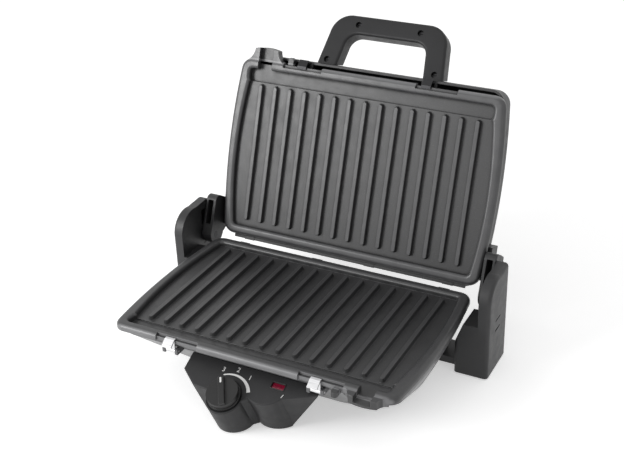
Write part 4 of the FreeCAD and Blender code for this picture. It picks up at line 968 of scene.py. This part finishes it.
class GRILL_OT_indicator(bpy.types.Operator):
    """Finish the red lens and its lamp and set a dark frame round the window"""

    bl_idname = "grill.indicator"
    bl_label = "Make Indicator"

    def execute(self, context):
        finish = context.scene.grill_finish
        dress(["indicator_lens"], red_lens("lens_red", finish.lens))
        dress(["indicator_lamp"], glow_lamp("lamp_glass"))
        low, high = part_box("indicator_lens")
        middle = PANEL.inverted() @ ((low + high) / 2)
        ring = frame_ring(*WINDOW_SIZE, WINDOW_BORDER, WINDOW_THICK, WINDOW_CORNER)
        ring.transform(on_panel(middle.x, middle.y))
        material = moulded_plastic("window_plastic", finish.knob, roughness=0.35, fineness=1700.0)
        add_piece("lamp_window_frame", ring, material, "base")
        return {"FINISHED"}


class GRILL_OT_scale(bpy.types.Operator):
    """Print the heat band, its numbers and the lamp's tick on the panel"""

    bl_idname = "grill.scale"
    bl_label = "Print Scale"

    def execute(self, context):
        sizes = context.scene.grill_sizes
        ink = printed_ink("panel_ink", context.scene.grill_finish.ink)
        band = bake_tree("heat_band", band_tree(), {
            "Radius": sizes.band_radius,
            "Start": sizes.band_start,
            "Sweep": sizes.band_sweep,
            "Thin End": sizes.band_thin,
            "Wide End": sizes.band_wide,
            "Height": sizes.print_high,
            "Ink": ink,
        })
        band.transform(on_panel(0.0, 0.0))
        outward(band)
        add_piece("heat_band", band, ink, "base")
        figures = []
        for words, degrees in DIGITS:
            turn = math.radians(degrees)
            figure = text_mesh(words, sizes.digit_high, sizes.print_high)
            across = sizes.digit_radius * math.cos(turn)
            rise = sizes.digit_radius * math.sin(turn)
            figure.transform(on_panel(across, rise, PRINT_GAP + sizes.print_high / 2))
            figures.append(figure)
        tick = rounded_bar(*TICK_SIZE, sizes.print_high, TICK_CORNER)
        tick.transform(on_panel(*TICK_SPOT, turn=TICK_TURN))
        figures.append(tick)
        numbers = merged("scale_numbers", figures)
        outward(numbers)
        add_piece("scale_numbers", numbers, ink, "base")
        return {"FINISHED"}


class GRILL_OT_pointer(bpy.types.Operator):
    """Lay the white pointer on the knob's grip"""

    bl_idname = "grill.pointer"
    bl_label = "Mark Knob"

    def execute(self, context):
        sizes = context.scene.grill_sizes
        ink = printed_ink("pointer_ink", context.scene.grill_finish.ink)
        flat = PANEL.inverted()
        top = max((flat @ vert.co).z for vert in NODES["control_knob"].data.vertices)
        bar = rounded_bar(sizes.mark_width, sizes.mark_length, sizes.print_high, MARK_CORNER)
        turn = Matrix.Rotation(sizes.mark_turn, 4, "Z")
        bar.transform(PANEL @ turn @ Matrix.Translation((0.0, MARK_REACH, top + PRINT_GAP)))
        add_piece("knob_pointer", bar, ink, "knob")
        return {"FINISHED"}


class GRILL_OT_stage(bpy.types.Operator):
    """Set up floor, soft light and camera"""

    bl_idname = "grill.stage"
    bl_label = "Set Stage"

    def execute(self, context):
        studio = context.scene.grill_studio
        make_floor(studio.floor, studio.glow)
        make_world(studio.sky)
        make_lamp("key", STAGE_MIDDLE + KEY_OFFSET, STAGE_MIDDLE, KEY_SIZE, studio.key)
        make_camera(studio.focal)
        context.scene.view_settings.view_transform = "Standard"
        return {"FINISHED"}


class GRILL_PT_build(bpy.types.Panel):
    """Steps and settings of the grill"""

    bl_idname = "GRILL_PT_build"
    bl_label = "Contact Grill"
    bl_space_type = "VIEW_3D"
    bl_region_type = "UI"
    bl_category = "Grill"

    def draw(self, context):
        scene = context.scene
        for step in OPERATORS:
            self.layout.operator(step.bl_idname)
        for group in (scene.grill_finish, scene.grill_sizes, scene.grill_studio):
            box = self.layout.box()
            for label in group.__annotations__:
                box.prop(group, label)


GROUPS = (GrillFinish, GrillSizes, GrillStudio)
OPERATORS = (
    GRILL_OT_plates,
    GRILL_OT_casings,
    GRILL_OT_metal,
    GRILL_OT_heating,
    GRILL_OT_rubber,
    GRILL_OT_indicator,
    GRILL_OT_scale,
    GRILL_OT_pointer,
    GRILL_OT_stage,
)
CLASSES = GROUPS + OPERATORS + (GRILL_PT_build,)


def register():
    for kind in CLASSES:
        bpy.utils.register_class(kind)
    bpy.types.Scene.grill_finish = bpy.props.PointerProperty(type=GrillFinish)
    bpy.types.Scene.grill_sizes = bpy.props.PointerProperty(type=GrillSizes)
    bpy.types.Scene.grill_studio = bpy.props.PointerProperty(type=GrillStudio)


def unregister():
    del bpy.types.Scene.grill_finish
    del bpy.types.Scene.grill_sizes
    del bpy.types.Scene.grill_studio
    for kind in reversed(CLASSES):
        bpy.utils.unregister_class(kind)


def main():
    register()
    bpy.ops.grill.plates()
    bpy.ops.grill.casings()
    bpy.ops.grill.metal()
    bpy.ops.grill.heating()
    bpy.ops.grill.rubber()
    bpy.ops.grill.indicator()
    bpy.ops.grill.scale()
    bpy.ops.grill.pointer()
    bpy.ops.grill.stage()


if __name__ == "__main__":
    main()
